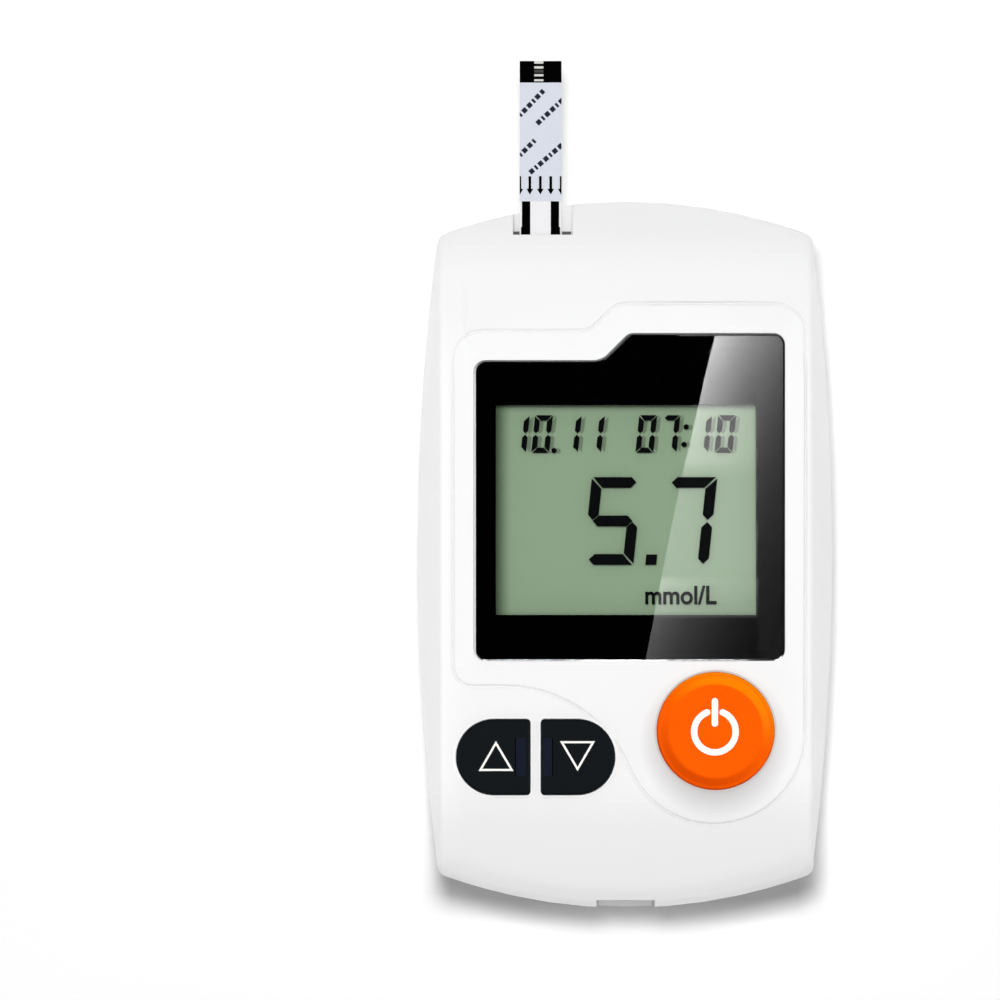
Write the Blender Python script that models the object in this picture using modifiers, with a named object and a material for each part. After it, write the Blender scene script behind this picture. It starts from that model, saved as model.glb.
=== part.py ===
# Blood glucose meter with a test strip in its port, lying on its back.
# +Z points out of the display and +Y towards the strip. The origin is the centre of the
# flat back. Sizes are in metres.

import math

import bmesh
import bpy
from mathutils import Matrix, Vector

# Clearances and fits
GAP = 0.0003  # between neighbours that seat on or slide past each other
BOND = 0.0001  # thickness of an adhesive film or a solder joint
OVERRUN = 0.004  # how far a cutter runs past what it cuts

# Casing
CASE_LENGTH = 0.0886
CASE_WIDTH = 0.0523
CASE_DEPTH = 0.0180
SIDE_SWELL = 0.0026  # how much further each side bows out than its corners
END_BOW_RADIUS = 0.06449  # of the curve at each end
PARTING_HEIGHT = 0.0085
CORNER_RADIUS = 0.0011
WALL = 0.0020
FACE_EDGE_RADIUS = 0.0009
FACE_ROLL_WIDTH = 0.0032
FACE_ROLL_FALL = 0.00035
END_FALL_REACH = 0.0155  # how far in from each end the front starts to fall away
TOP_FALL = 0.0033
BOTTOM_FALL = 0.0009
BOTTOM_NOSE_RADIUS = 0.0030
INNER_RING_STEP = 0.0004
BACK_DRAFT = 0.0012
BACK_EDGE_RADIUS = 0.0028
LIP_INSET = 0.0012
LIP_HEIGHT = 0.0010
SIDE_STEPS = 10
END_STEPS = 14
CORNER_STEPS = 4
FACE_EDGE_ANGLES = (0, 30, 55, 75, 90)
BACK_EDGE_ANGLES = (90, 65, 40, 18, 0)
ROLL_SHARES = (0.4, 0.7, 1.0)
FALL_SHARES = (0.4, 0.6, 0.8, 1.0)
FLARE_RISE_SHARES = (0.33, 0.67)
BACK_STRAIGHTENING_SHARE = 0.5

# Display lens, with its black border
LENS_FROM_BOTTOM = 0.0312
LENS_FROM_TOP = 0.0167
LENS_STEP_DROP = 0.0034
LENS_CORNER_RADIUS = 0.0013
LENS_STEP_RADIUS = 0.0026
LENS_THICKNESS = 0.0010
LENS_SINK = 0.00015
LENS_CLEARANCE = 0.00015
LEDGE_THICKNESS = 0.0006
LENS_GASKET_THICKNESS = 0.0002

# Display behind the lens
WINDOW_LOWER_BORDER = 0.0056
WINDOW_UPPER_BORDER = 0.00885
APERTURE_MARGIN = 0.0006
LCD_MARGIN_X = 0.0016
LCD_MARGIN_TOP = 0.0018
LCD_LEDGE_WIDTH = 0.0030
LCD_FRONT_THICKNESS = 0.0010
LCD_BACK_THICKNESS = 0.0010
LCD_FRAME_WALL = 0.0010
LCD_FRAME_FLOOR = 0.0008
ZEBRA_THICKNESS = 0.0014

# Fine groove round the display panel
PANEL_FROM_TOP = 0.01285
PANEL_STEP_DROP = 0.0034
PANEL_CORNER_RADIUS = 0.0036
PANEL_FOOT_RADIUS = 0.0025
PANEL_STEP_RADIUS = 0.0030
PANEL_SHOULDER_FROM_BOTTOM = 0.0279
PANEL_SHOULDER_RADIUS = 0.0169
PANEL_BOSS_FROM_BOTTOM = 0.02205
GROOVE_RADIUS = 0.00025

# Buttons
POWER_FROM_BOTTOM = 0.0223
POWER_BEVEL_WIDTH = 0.00156
POWER_RISE = 0.0012
POWER_BEVEL_FALL = 0.0007
POWER_DISH = 0.00025
POWER_FLANGE_WIDTH = 0.0009
PAIR_FROM_BOTTOM = 0.01905
ARROW_HEIGHT = 0.0095
ARROW_BAR = 0.0013
ARROW_RISE = 0.0006
ARROW_CORNER_RADIUS = 0.0005
ARROW_EDGE_BEVEL = 0.0003
ARROW_FLANGE_WIDTH = 0.0008
ARROW_FLANGE_INSET = 0.00045
FLANGE_THICKNESS = 0.0008
BUTTON_CLEARANCE = 0.0002
BUTTON_TRAVEL = 0.0005
STEM_RADIUS = 0.0016

# Sprung switches under the buttons
SWITCH_WIDTH = 0.0045
PLUNGER_RADIUS = 0.0011
PLUNGER_CLEARANCE = 0.00015

# Circuit board
BOARD_THICKNESS = 0.0016
BOARD_MARGIN = 0.0015
BOARD_FROM_BOTTOM = 0.0068
PROCESSOR_WIDTH = 0.0100
PROCESSOR_THICKNESS = 0.0014
MEMORY_WIDTH = 0.0050
MEMORY_LENGTH = 0.0060
MEMORY_THICKNESS = 0.0015
CRYSTAL_LENGTH = 0.0080
CRYSTAL_RADIUS = 0.0015
BUZZER_RADIUS = 0.0060
BUZZER_HEIGHT = 0.0026
BUZZER_HOLE_RADIUS = 0.0010
BUZZER_HOLE_DEPTH = 0.0008

# Test strip and its port
STRIP_WIDTH = 0.00525
STRIP_THICKNESS = 0.0005
STRIP_OUT = 0.0219
STRIP_INSERTED = 0.0081
STRIP_CORNER = 0.0003
NOTCH_SHIFT = 0.00025  # of the notch's middle from the strip's
NOTCH_WIDTH = 0.00745
NOTCH_DEPTH = 0.0042  # from the end of the casing, on its centre line
HOOD_WALL = 0.0012
PORT_WIDTH = 0.0083
PORT_MARGIN = 0.0005  # from the port to the screw boss beside it
PORT_FLOOR = 0.0005
PORT_ROOF = 0.0006
PORT_STOP = 0.0012
BAY_RISE = 0.0006
CONTACT_WIDTH = 0.0007
CONTACT_PITCH = 0.0015
CONTACT_THICKNESS = 0.0002
CONTACT_REACH = 0.0038
CONTACT_FOOT = 0.0014
CONTACT_COUNT = 3

# Battery, its well and its cover
CELL_RADIUS = 0.0100
CELL_HEIGHT = 0.0032
CELL_RIM = 0.0006
CELL_STEP = 0.0002
CELL_FROM_BOTTOM = 0.0168
WELL_ROOF = 0.0008
WELL_WALL = 0.0012
CELL_SPRING_SPACE = 0.0010
DOOR_SIDE_MARGIN = 0.0017  # from the well to each side of the door
DOOR_THICKNESS = 0.0016
DOOR_MARGIN = 0.0030  # from the well to the inner end of the door
TAB_WIDTH = 0.0067
TAB_THICKNESS = 0.0008
TAB_RISE = 0.0011  # above the parting line
RAIL_WIDTH = 0.0006
RAIL_THICKNESS = 0.0006
RAIL_HEIGHT = 0.0008
RAIL_END = 0.0080
GRIP_COUNT = 4
GRIP_PITCH = 0.0016
GRIP_RADIUS = 0.0004
GRIP_LENGTH = 0.0120
GRIP_FROM_BOTTOM = 0.0058
SPRING_THICKNESS = 0.00025
SPRING_WIDTH = 0.0030
SPRING_REACH = 0.0045
SPRING_LIFT = 0.0005

# Screws
CASE_SCREW_FROM_TOP = 0.0113
CASE_SCREW_FROM_BOTTOM = 0.0103
CASE_SCREW_FROM_SIDE = 0.00665
CASE_SCREW_LENGTH = 0.0070
BOARD_SCREW_FROM_TOP = 0.0108
BOARD_SCREW_FROM_BOTTOM = 0.0280
BOARD_SCREW_FROM_SIDE = 0.00655
BOARD_SCREW_LENGTH = 0.0036
SCREW_RADIUS = 0.0011
SCREW_HEAD_RADIUS = 0.0018
SCREW_HEAD_HEIGHT = 0.0012
SCREW_SLOT_WIDTH = 0.0005
SCREW_SLOT_DEPTH = 0.0006
SCREW_CLEARANCE = 0.0002
SCREW_WEB = 0.0016
BOSS_WALL = 0.0011

# Blank label on the back
LABEL_THICKNESS = 0.0002
LABEL_SINK = 0.0001
LABEL_RADIUS = 0.0012

# Places and widths across the casing, as shares of its width at the corners
LENS_LEFT_X_SHARE = -0.4013
LENS_RIGHT_X_SHARE = 0.4193
LENS_STEP_X_SHARE = -0.0637
WINDOW_WIDTH_SHARE = 0.6913
PANEL_LEFT_X_SHARE = -0.4597
PANEL_STEP_X_SHARE = -0.0977
PANEL_BOSS_X_SHARE = 0.2335
PANEL_BOSS_RADIUS_SHARE = 0.2429
POWER_BUTTON_X_SHARE = 0.2378
POWER_RADIUS_SHARE = 0.15626
BUTTON_PAIR_X_SHARE = -0.2399
ARROW_LENGTH_SHARE = 0.19745
TEST_STRIP_X_SHARE = -0.2261
PROCESSOR_X_SHARE = 0.138
MEMORY_X_SHARE = -0.1168
CRYSTAL_X_SHARE = -0.1274
BUZZER_X_SHARE = 0.2123
BOARD_SCREW_X_SHARE = 0.1062
LABEL_WIDTH_SHARE = 0.637

# Places and heights along the casing, as shares of its length
PROCESSOR_Y_SHARE = 0.0903
MEMORY_Y_SHARE = 0.1072
CRYSTAL_Y_SHARE = 0.0113
BUZZER_Y_SHARE = 0.2709
LABEL_Y_SHARE = 0.2088
LABEL_HEIGHT_SHARE = 0.2032

# Shares of the height that is left over, and of the height between board and keys
LCD_STANDOFF_SHARE = 0.33
SWITCH_FLOOR_SHARE = 0.11
PLUNGER_DEPTH_SHARE = 0.17
PLUNGER_HEIGHT_SHARE = 0.2

# Places that follow from the sizes above
CORNER_SPAN = CASE_WIDTH - 2 * SIDE_SWELL
END_BOW = CORNER_SPAN**2 / (8 * END_BOW_RADIUS)
LENS_LEFT = LENS_LEFT_X_SHARE * CORNER_SPAN
LENS_RIGHT = LENS_RIGHT_X_SHARE * CORNER_SPAN
LENS_STEP_X = LENS_STEP_X_SHARE * CORNER_SPAN
WINDOW_REACH = WINDOW_WIDTH_SHARE * CORNER_SPAN / 2
PANEL_LEFT = PANEL_LEFT_X_SHARE * CORNER_SPAN
PANEL_STEP_X = PANEL_STEP_X_SHARE * CORNER_SPAN
PANEL_BOSS_X = PANEL_BOSS_X_SHARE * CORNER_SPAN
PANEL_BOSS_RADIUS = PANEL_BOSS_RADIUS_SHARE * CORNER_SPAN
POWER_X = POWER_BUTTON_X_SHARE * CORNER_SPAN
PAIR_X = BUTTON_PAIR_X_SHARE * CORNER_SPAN
BOARD_SCREW_X = BOARD_SCREW_X_SHARE * CORNER_SPAN
LABEL_WIDTH = LABEL_WIDTH_SHARE * CORNER_SPAN
LABEL_HEIGHT = LABEL_HEIGHT_SHARE * CASE_LENGTH
LABEL_Y = LABEL_Y_SHARE * CASE_LENGTH
TOP_Y = CASE_LENGTH / 2
BOTTOM_Y = -CASE_LENGTH / 2
LENS_BOTTOM = BOTTOM_Y + LENS_FROM_BOTTOM
LENS_TOP = TOP_Y - LENS_FROM_TOP
WINDOW_LOW = LENS_BOTTOM + WINDOW_LOWER_BORDER
WINDOW_HIGH = LENS_TOP - WINDOW_UPPER_BORDER
LCD_X = WINDOW_REACH + LCD_MARGIN_X
LCD_LOW = WINDOW_LOW - LCD_LEDGE_WIDTH
LCD_HIGH = WINDOW_HIGH + LCD_MARGIN_TOP
ZEBRA_LOW = LCD_LOW + (LCD_LEDGE_WIDTH - ZEBRA_THICKNESS) / 2
ZEBRA_HIGH = ZEBRA_LOW + ZEBRA_THICKNESS
POWER_RADIUS = POWER_RADIUS_SHARE * CORNER_SPAN
POWER_FACE_RADIUS = POWER_RADIUS - POWER_BEVEL_WIDTH
ARROW_LENGTH = ARROW_LENGTH_SHARE * CORNER_SPAN
PAIR_REACH = (ARROW_BAR + ARROW_LENGTH) / 2
BUTTON_PLACES = {
    "power": (POWER_X, BOTTOM_Y + POWER_FROM_BOTTOM),
    "up": (PAIR_X - PAIR_REACH, BOTTOM_Y + PAIR_FROM_BOTTOM),
    "down": (PAIR_X + PAIR_REACH, BOTTOM_Y + PAIR_FROM_BOTTOM),
}
STRIP_X = TEST_STRIP_X_SHARE * CORNER_SPAN
NOTCH_X = STRIP_X + NOTCH_SHIFT
NOTCH_Y = TOP_Y - NOTCH_DEPTH
HOOD_REAR = NOTCH_Y - HOOD_WALL
PORT_FRONT = HOOD_REAR - GAP
PORT_REAR = NOTCH_Y - STRIP_INSERTED - GAP - PORT_STOP
CELL_Y = BOTTOM_Y + CELL_FROM_BOTTOM
DOOR_Y = CELL_Y + CELL_RADIUS + DOOR_MARGIN
WELL_RADIUS = CELL_RADIUS + GAP
DOOR_WIDTH = 2 * (WELL_RADIUS + DOOR_SIDE_MARGIN)
POSITIVE_REACH = WELL_RADIUS + SPRING_THICKNESS / 2
BOSS_RADIUS = SCREW_RADIUS + SCREW_CLEARANCE + BOSS_WALL
POST_RADIUS = SCREW_HEAD_RADIUS + GAP + BOSS_WALL
CASE_SCREW_TOP_X = PORT_WIDTH / 2 + PORT_MARGIN + BOSS_RADIUS - STRIP_X
CASE_SCREW_BOTTOM_X = CORNER_SPAN / 2 - CASE_SCREW_FROM_SIDE
CASE_SCREW_PLACES = (
    (-CASE_SCREW_TOP_X, TOP_Y - CASE_SCREW_FROM_TOP),
    (CASE_SCREW_TOP_X, TOP_Y - CASE_SCREW_FROM_TOP),
    (-CASE_SCREW_BOTTOM_X, BOTTOM_Y + CASE_SCREW_FROM_BOTTOM),
    (CASE_SCREW_BOTTOM_X, BOTTOM_Y + CASE_SCREW_FROM_BOTTOM),
)
BOARD_SCREW_PLACES = (
    (BOARD_SCREW_FROM_SIDE - CORNER_SPAN / 2, BOTTOM_Y + BOARD_SCREW_FROM_BOTTOM),
    (BOARD_SCREW_X, TOP_Y - BOARD_SCREW_FROM_TOP),
)

# Heights that follow from the sizes above
PARTING_LOW = PARTING_HEIGHT - GAP / 2
PARTING_HIGH = PARTING_HEIGHT + GAP / 2
LENS_FACE = CASE_DEPTH - LENS_SINK
LENS_BACK = LENS_FACE - LENS_THICKNESS
GASKET_FACE = LENS_BACK - BOND
GASKET_BACK = GASKET_FACE - LENS_GASKET_THICKNESS
POCKET_FLOOR = GASKET_BACK - BOND
CEILING = POCKET_FLOOR - LEDGE_THICKNESS
FACE_WALL = CASE_DEPTH - CEILING
LCD_FACE = CEILING - GAP
LCD_LEDGE = LCD_FACE - LCD_FRONT_THICKNESS
LCD_BACK = LCD_LEDGE - LCD_BACK_THICKNESS
LCD_SEAT = LCD_BACK - GAP
CELL_BACK = DOOR_THICKNESS + 2 * GAP
CELL_FACE = CELL_BACK + CELL_HEIGHT
WELL_CEILING = CELL_FACE + CELL_SPRING_SPACE
WELL_TOP = WELL_CEILING + WELL_ROOF
SPARE_HEIGHT = LCD_SEAT - LCD_FRAME_FLOOR - BOARD_THICKNESS - WELL_TOP
BOARD_FACE = LCD_SEAT - LCD_FRAME_FLOOR - SPARE_HEIGHT * LCD_STANDOFF_SHARE
BOARD_BACK = BOARD_FACE - BOARD_THICKNESS
FLANGE_FACE = CEILING - GAP
FLANGE_BACK = FLANGE_FACE - FLANGE_THICKNESS
KEY_SPACE = FLANGE_BACK - BOARD_FACE
PLUNGER_DEPTH = KEY_SPACE * PLUNGER_DEPTH_SHARE
SWITCH_BORE = PLUNGER_DEPTH + BUTTON_TRAVEL + GAP
SWITCH_BASE = BOARD_FACE + BOND
SWITCH_FACE = SWITCH_BASE + KEY_SPACE * SWITCH_FLOOR_SHARE + SWITCH_BORE
PLUNGER_FACE = SWITCH_FACE + KEY_SPACE * PLUNGER_HEIGHT_SHARE
STEM_END = PLUNGER_FACE + BOND
PORT_BASE = BOARD_FACE + BOND
SLOT_FLOOR = PORT_BASE + PORT_FLOOR
STRIP_BACK = SLOT_FLOOR + GAP
STRIP_FACE = STRIP_BACK + STRIP_THICKNESS
SLOT_ROOF = STRIP_FACE + GAP
BAY_ROOF = SLOT_ROOF + BAY_RISE
PORT_FACE = BAY_ROOF + PORT_ROOF
TAB_TOP = PARTING_HEIGHT + TAB_RISE
LIP_TOP = PARTING_LOW + LIP_HEIGHT
WEB_BACK = PARTING_LOW - SCREW_WEB

# Colours, roughness and metallic value of each finish
FINISHES = {
    "white_plastic": ((0.87, 0.87, 0.87), 0.35, 0.0),
    "orange_plastic": ((0.95, 0.13, 0.005), 0.35, 0.0),
    "navy_plastic": ((0.012, 0.014, 0.022), 0.4, 0.0),
    "clear_plastic": ((0.05, 0.05, 0.05), 0.05, 0.0),
    "black_film": ((0.004, 0.004, 0.004), 0.5, 0.0),
    "display_glass": ((0.26, 0.36, 0.24), 0.3, 0.0),
    "tray_plastic": ((0.75, 0.75, 0.72), 0.5, 0.0),
    "rubber": ((0.35, 0.2, 0.22), 0.8, 0.0),
    "board_laminate": ((0.02, 0.16, 0.05), 0.45, 0.0),
    "chip_resin": ((0.02, 0.02, 0.022), 0.55, 0.0),
    "can_metal": ((0.7, 0.7, 0.7), 0.3, 1.0),
    "gold_plate": ((0.8, 0.6, 0.25), 0.3, 1.0),
    "spring_steel": ((0.62, 0.62, 0.6), 0.3, 1.0),
    "grey_plastic": ((0.5, 0.5, 0.5), 0.4, 0.0),
    "strip_film": ((0.84, 0.85, 0.88), 0.5, 0.0),
    "label_paper": ((0.75, 0.76, 0.78), 0.6, 0.0),
}


def clear_scene():
    for obj in list(bpy.data.objects):
        bpy.data.objects.remove(obj)


def new_collection(name):
    collection = bpy.data.collections.new(name)
    bpy.context.scene.collection.children.link(collection)
    return collection


def new_material(name):
    colour, roughness, metallic = FINISHES[name]
    material = bpy.data.materials.new(name)
    material.use_nodes = True
    shader = material.node_tree.nodes["Principled BSDF"]
    shader.inputs["Base Color"].default_value = (*colour, 1.0)
    shader.inputs["Roughness"].default_value = roughness
    shader.inputs["Metallic"].default_value = metallic
    material.diffuse_color = (*colour, 1.0)
    return material


clear_scene()
parts = new_collection("blood_glucose_meter")
cutters = new_collection("cutters")
materials = {name: new_material(name) for name in FINISHES}


def add_object(name, mesh, at=(0, 0, 0)):
    """A new object among the cutters, where it stays unless finish_part takes it out."""
    obj = bpy.data.objects.new(name, mesh)
    obj.location = at
    obj.hide_render = True
    obj.display_type = "WIRE"
    cutters.objects.link(obj)
    return obj


def finish_part(obj, name, finish, smooth_angle=30):
    """Makes an object a part of the meter, with its name and material."""
    cutters.objects.unlink(obj)
    parts.objects.link(obj)
    obj.hide_render = False
    obj.display_type = "TEXTURED"
    obj.name = name
    obj.data.materials.clear()
    obj.data.materials.append(materials[finish])
    obj.data.shade_smooth()
    obj.data.set_sharp_from_angle(angle=math.radians(smooth_angle))
    return obj


def to_mesh(bm, name):
    bmesh.ops.recalc_face_normals(bm, faces=bm.faces)
    mesh = bpy.data.meshes.new(name)
    bm.to_mesh(mesh)
    bm.free()
    return mesh


def box(name, low, high, at=(0, 0, 0)):
    """A box between any two of its opposite corners."""
    bm = bmesh.new()
    bmesh.ops.create_cube(bm, size=1)
    size = Vector(high) - Vector(low)
    middle = (Vector(high) + Vector(low)) / 2
    bmesh.ops.scale(bm, vec=size, verts=bm.verts)
    bmesh.ops.translate(bm, vec=middle, verts=bm.verts)
    return add_object(name, to_mesh(bm, name), at)


def cylinder(name, radius, low, high, at=(0, 0), sides=20):
    """An upright cylinder between two heights, round a point of the plan."""
    bm = bmesh.new()
    bmesh.ops.create_cone(
        bm, cap_ends=True, segments=sides, radius1=radius, radius2=radius, depth=high - low
    )
    bmesh.ops.translate(bm, vec=(0, 0, (low + high) / 2), verts=bm.verts)
    return add_object(name, to_mesh(bm, name), (*at, 0))


def plate(name, outline, low, high, at=(0, 0, 0)):
    """A flat plate with this outline, from a filled 2D curve, as a mesh."""
    curve = bpy.data.curves.new(name, "CURVE")
    curve.dimensions = "2D"
    curve.fill_mode = "BOTH"
    curve.extrude = (high - low) / 2
    spline = curve.splines.new("POLY")
    spline.points.add(len(outline) - 1)
    spline.use_cyclic_u = True
    for point, (x, y) in zip(spline.points, outline):
        point.co = (x, y, 0, 1)
    guide = bpy.data.objects.new(name, curve)
    guide.location = (at[0], at[1], at[2] + (low + high) / 2)
    return curve_as_mesh(guide, name)


def curve_as_mesh(guide, name):
    """Turns a curve object into a welded mesh among the cutters, and removes the curve."""
    cutters.objects.link(guide)
    bpy.context.view_layer.update()
    graph = bpy.context.evaluated_depsgraph_get()
    mesh = bpy.data.meshes.new_from_object(guide.evaluated_get(graph))
    bm = bmesh.new()
    bm.from_mesh(mesh)
    bmesh.ops.remove_doubles(bm, verts=bm.verts, dist=BOND / 100)
    bmesh.ops.recalc_face_normals(bm, faces=bm.faces)
    bm.to_mesh(mesh)
    bm.free()
    obj = add_object(name, mesh)
    obj.matrix_world = guide.matrix_world
    bpy.data.objects.remove(guide)
    return obj


def turned(name, profile, at=(0, 0, 0), steps=24):
    """A solid of revolution about +Z, from (radius, height) points, outer side downwards."""
    mesh = bpy.data.meshes.new(name)
    points = [(radius, 0, height) for radius, height in profile]
    mesh.from_pydata(points, [(i, i + 1) for i in range(len(points) - 1)], [])
    obj = add_object(name, mesh, at)
    screw = obj.modifiers.new("turn", "SCREW")
    screw.steps = steps
    screw.render_steps = steps
    screw.use_merge_vertices = True
    screw.merge_threshold = BOND / 100
    return obj


def bent_strip(name, path, width, thickness, at=(0, 0, 0), turn=0):
    """Sheet metal bent along a path of (distance, height) points, lying across its middle."""
    bm = bmesh.new()
    rows = [
        [bm.verts.new((side * width / 2, distance, height)) for side in (-1, 1)]
        for distance, height in path
    ]
    for near, far in zip(rows, rows[1:]):
        bm.faces.new((near[0], near[1], far[1], far[0]))
    obj = add_object(name, to_mesh(bm, name), at)
    obj.data.transform(Matrix.Rotation(turn, 4, "Z"))
    solid = obj.modifiers.new("sheet", "SOLIDIFY")
    solid.thickness = thickness
    solid.offset = 0
    solid.use_even_offset = True
    return obj


def boolean(obj, other, operation):
    modifier = obj.modifiers.new(other.name, "BOOLEAN")
    modifier.operation = operation
    modifier.object = other
    modifier.solver = "EXACT"
    return obj


def cut(obj, *others):
    for other in others:
        boolean(obj, other, "DIFFERENCE")
    return obj


def join(obj, *others):
    for other in others:
        boolean(obj, other, "UNION")
    return obj


def bevel(obj, width, segments=2, angle=60):
    modifier = obj.modifiers.new("rounded edges", "BEVEL")
    modifier.width = width
    modifier.segments = segments
    modifier.limit_method = "ANGLE"
    modifier.angle_limit = math.radians(angle)
    return obj


def spread(steps):
    """Shares from -1 to 1, closer together towards both ends."""
    return [-math.cos(math.pi * i / steps) for i in range(steps + 1)]


def between(a, b, share):
    return a + (b - a) * share


def arc(centre, radius, start, end, steps=12):
    """Points round a centre from one angle to another, in degrees."""
    turns = [math.radians(between(start, end, i / steps)) for i in range(steps + 1)]
    return [
        (centre[0] + radius * math.cos(turn), centre[1] + radius * math.sin(turn))
        for turn in turns
    ]


def fillet(before, corner, after, radius, steps=5):
    """Points of the arc that rounds a corner of an outline."""
    inward = (Vector(before) - Vector(corner)).normalized()
    onward = (Vector(after) - Vector(corner)).normalized()
    half = inward.angle(onward) / 2
    centre = Vector(corner) + (inward + onward).normalized() * radius / math.sin(half)
    reach = radius / math.tan(half)
    start = Vector(corner) + inward * reach - centre
    end = Vector(corner) + onward * reach - centre
    spokes = [start.slerp(end, i / steps).normalized() for i in range(steps + 1)]
    return [tuple(centre + spoke * radius) for spoke in spokes]


def rounded(corners, steps=5):
    """An outline from (x, y, radius) corners."""
    outline = []
    for i, (x, y, radius) in enumerate(corners):
        before = corners[i - 1][:2]
        after = corners[(i + 1) % len(corners)][:2]
        outline += fillet(before, (x, y), after, radius, steps)
    return outline


def rounded_box(width, height, radius):
    x, y = width / 2, height / 2
    return rounded([(-x, -y, radius), (x, -y, radius), (x, y, radius), (-x, y, radius)])


def end_line(x):
    """Y of the casing's upper end at this X. The lower end is its mirror image."""
    return CASE_LENGTH / 2 - END_BOW * (2 * x / CORNER_SPAN) ** 2


def fall_near(distance, fall, reach):
    """How much lower the front is at this distance from an edge that it falls away to."""
    return fall * max(1 - distance / reach, 0) ** 2


def face_height(x, y):
    """Height of the front, which falls away to its edges and rolls over at the lower end."""
    from_side = CORNER_SPAN / 2 - abs(x)
    from_top = max(end_line(x) - y, 0)
    from_bottom = max(y + end_line(x), 0)
    fall = fall_near(from_side, FACE_ROLL_FALL, FACE_ROLL_WIDTH)
    fall += fall_near(from_top, TOP_FALL, END_FALL_REACH)
    fall += fall_near(from_bottom, BOTTOM_FALL, END_FALL_REACH)
    nose = max(BOTTOM_NOSE_RADIUS - from_bottom, 0)
    fall += BOTTOM_NOSE_RADIUS - math.sqrt(BOTTOM_NOSE_RADIUS**2 - nose**2)
    return CASE_DEPTH - fall


def case_ring(straight_share, side_inset, end_inset):
    """The casing's outline in plan, set in from its sides and ends, anticlockwise."""
    swell = (CASE_WIDTH - CORNER_SPAN) / 2 * (1 - straight_share)
    half = CORNER_SPAN / 2 - side_inset
    corner_y = CASE_LENGTH / 2 - END_BOW - end_inset
    side_reach = 1 - CORNER_RADIUS / corner_y
    end_reach = 1 - CORNER_RADIUS / half
    side = [u * side_reach for u in spread(SIDE_STEPS)]
    end = [-v * end_reach for v in spread(END_STEPS)]
    right = [(half + swell * (1 - u**2), u * corner_y) for u in side]
    top = [(v * half, corner_y + END_BOW * (1 - v**2)) for v in end]
    corner = []
    for i in range(1, CORNER_STEPS):
        t = i / CORNER_STEPS
        shares = ((1 - t) ** 2, 2 * t * (1 - t), t**2)
        points = (right[-1], (half, corner_y), top[0])
        corner.append(
            tuple(sum(s * p[axis] for s, p in zip(shares, points)) for axis in (0, 1))
        )
    far_corner = [(-x, y) for x, y in reversed(corner)]
    half_ring = right + corner + top + far_corner
    return half_ring + [(-x, -y) for x, y in half_ring]


def loft(name, rings):
    """A closed solid through rings of (x, y, z) points, from the lowest to the highest."""
    bm = bmesh.new()
    rows = [[bm.verts.new(point) for point in ring] for ring in rings]
    for low, high in zip(rows, rows[1:]):
        for i in range(len(low)):
            bm.faces.new((low[i - 1], low[i], high[i], high[i - 1]))
    bm.faces.new(list(reversed(rows[0])))
    bm.faces.new(rows[-1])
    return add_object(name, to_mesh(bm, name))


def prism(name, inset, low, high):
    """The casing's outline at its parting line, set in, between two heights."""
    ring = case_ring(0, inset, inset)
    return loft(name, [[(x, y, z) for x, y in ring] for z in (low, high)])


def face_insets():
    """(side inset, end inset, drop) of the rings from the edge of the front inwards."""
    for angle in FACE_EDGE_ANGLES:
        turn = math.radians(angle)
        reach = FACE_EDGE_RADIUS * (1 - math.cos(turn))
        yield reach, reach, FACE_EDGE_RADIUS * (1 - math.sin(turn))
    for share in ROLL_SHARES:
        reach = between(FACE_EDGE_RADIUS, FACE_ROLL_WIDTH, share)
        yield reach, reach, 0
    for count, share in enumerate(FALL_SHARES, 1):
        yield FACE_ROLL_WIDTH + count * INNER_RING_STEP, END_FALL_REACH * share, 0


def front_form(name, inset=0, top_inset=0, skirt=0):
    """The casing's front half as a solid, or set in by its walls as the hollow in it."""
    drop = FACE_EDGE_RADIUS + top_inset
    edge = [face_height(x, y) - drop for x, y in case_ring(1, inset, inset)]
    belt = case_ring(0, inset, inset)
    rings = []
    if skirt:
        rings.append([(x, y, PARTING_HIGH - skirt) for x, y in belt])
    rings.append([(x, y, PARTING_HIGH) for x, y in belt])
    for share in FLARE_RISE_SHARES:
        flared = zip(case_ring(share, inset, inset), edge)
        rings.append([(x, y, between(PARTING_HIGH, z, share)) for (x, y), z in flared])
    for reach, end_reach, edge_drop in face_insets():
        ring = case_ring(1, inset + reach, inset + end_reach)
        fall = top_inset + edge_drop
        rings.append([(x, y, face_height(x, y) - fall) for x, y in ring])
    return loft(name, rings)


def back_form(name, top, inset=0):
    """The casing's rear half as a solid, or set in by its walls as the hollow in it."""
    radius = max(BACK_EDGE_RADIUS - inset, BOND)
    rings = []
    for angle in BACK_EDGE_ANGLES:
        turn = math.radians(angle)
        reach = inset + BACK_DRAFT + radius * (1 - math.cos(turn))
        height = inset + radius * (1 - math.sin(turn))
        share = BACK_STRAIGHTENING_SHARE * (1 - height / PARTING_HEIGHT)
        rings.append([(x, y, height) for x, y in case_ring(share, reach, reach)])
    belt = case_ring(0, inset, inset)
    rings.append([(x, y, PARTING_LOW) for x, y in belt])
    if top > PARTING_LOW:
        rings.append([(x, y, top) for x, y in belt])
    return loft(name, rings)


def lens_outline(grow=0):
    """Outline of the lens, with a step at its upper left, grown on all sides."""
    left, right = LENS_LEFT - grow, LENS_RIGHT + grow
    bottom, top = LENS_BOTTOM - grow, LENS_TOP + grow
    step_x = LENS_STEP_X - grow * math.tan(math.pi / 8)
    low = top - LENS_STEP_DROP
    radius = LENS_CORNER_RADIUS + grow
    return rounded(
        [
            (left, bottom, radius),
            (right, bottom, radius),
            (right, top, radius),
            (step_x + LENS_STEP_DROP, top, radius),
            (step_x, low, LENS_STEP_RADIUS - grow),
            (left, low, radius),
        ]
    )


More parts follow.
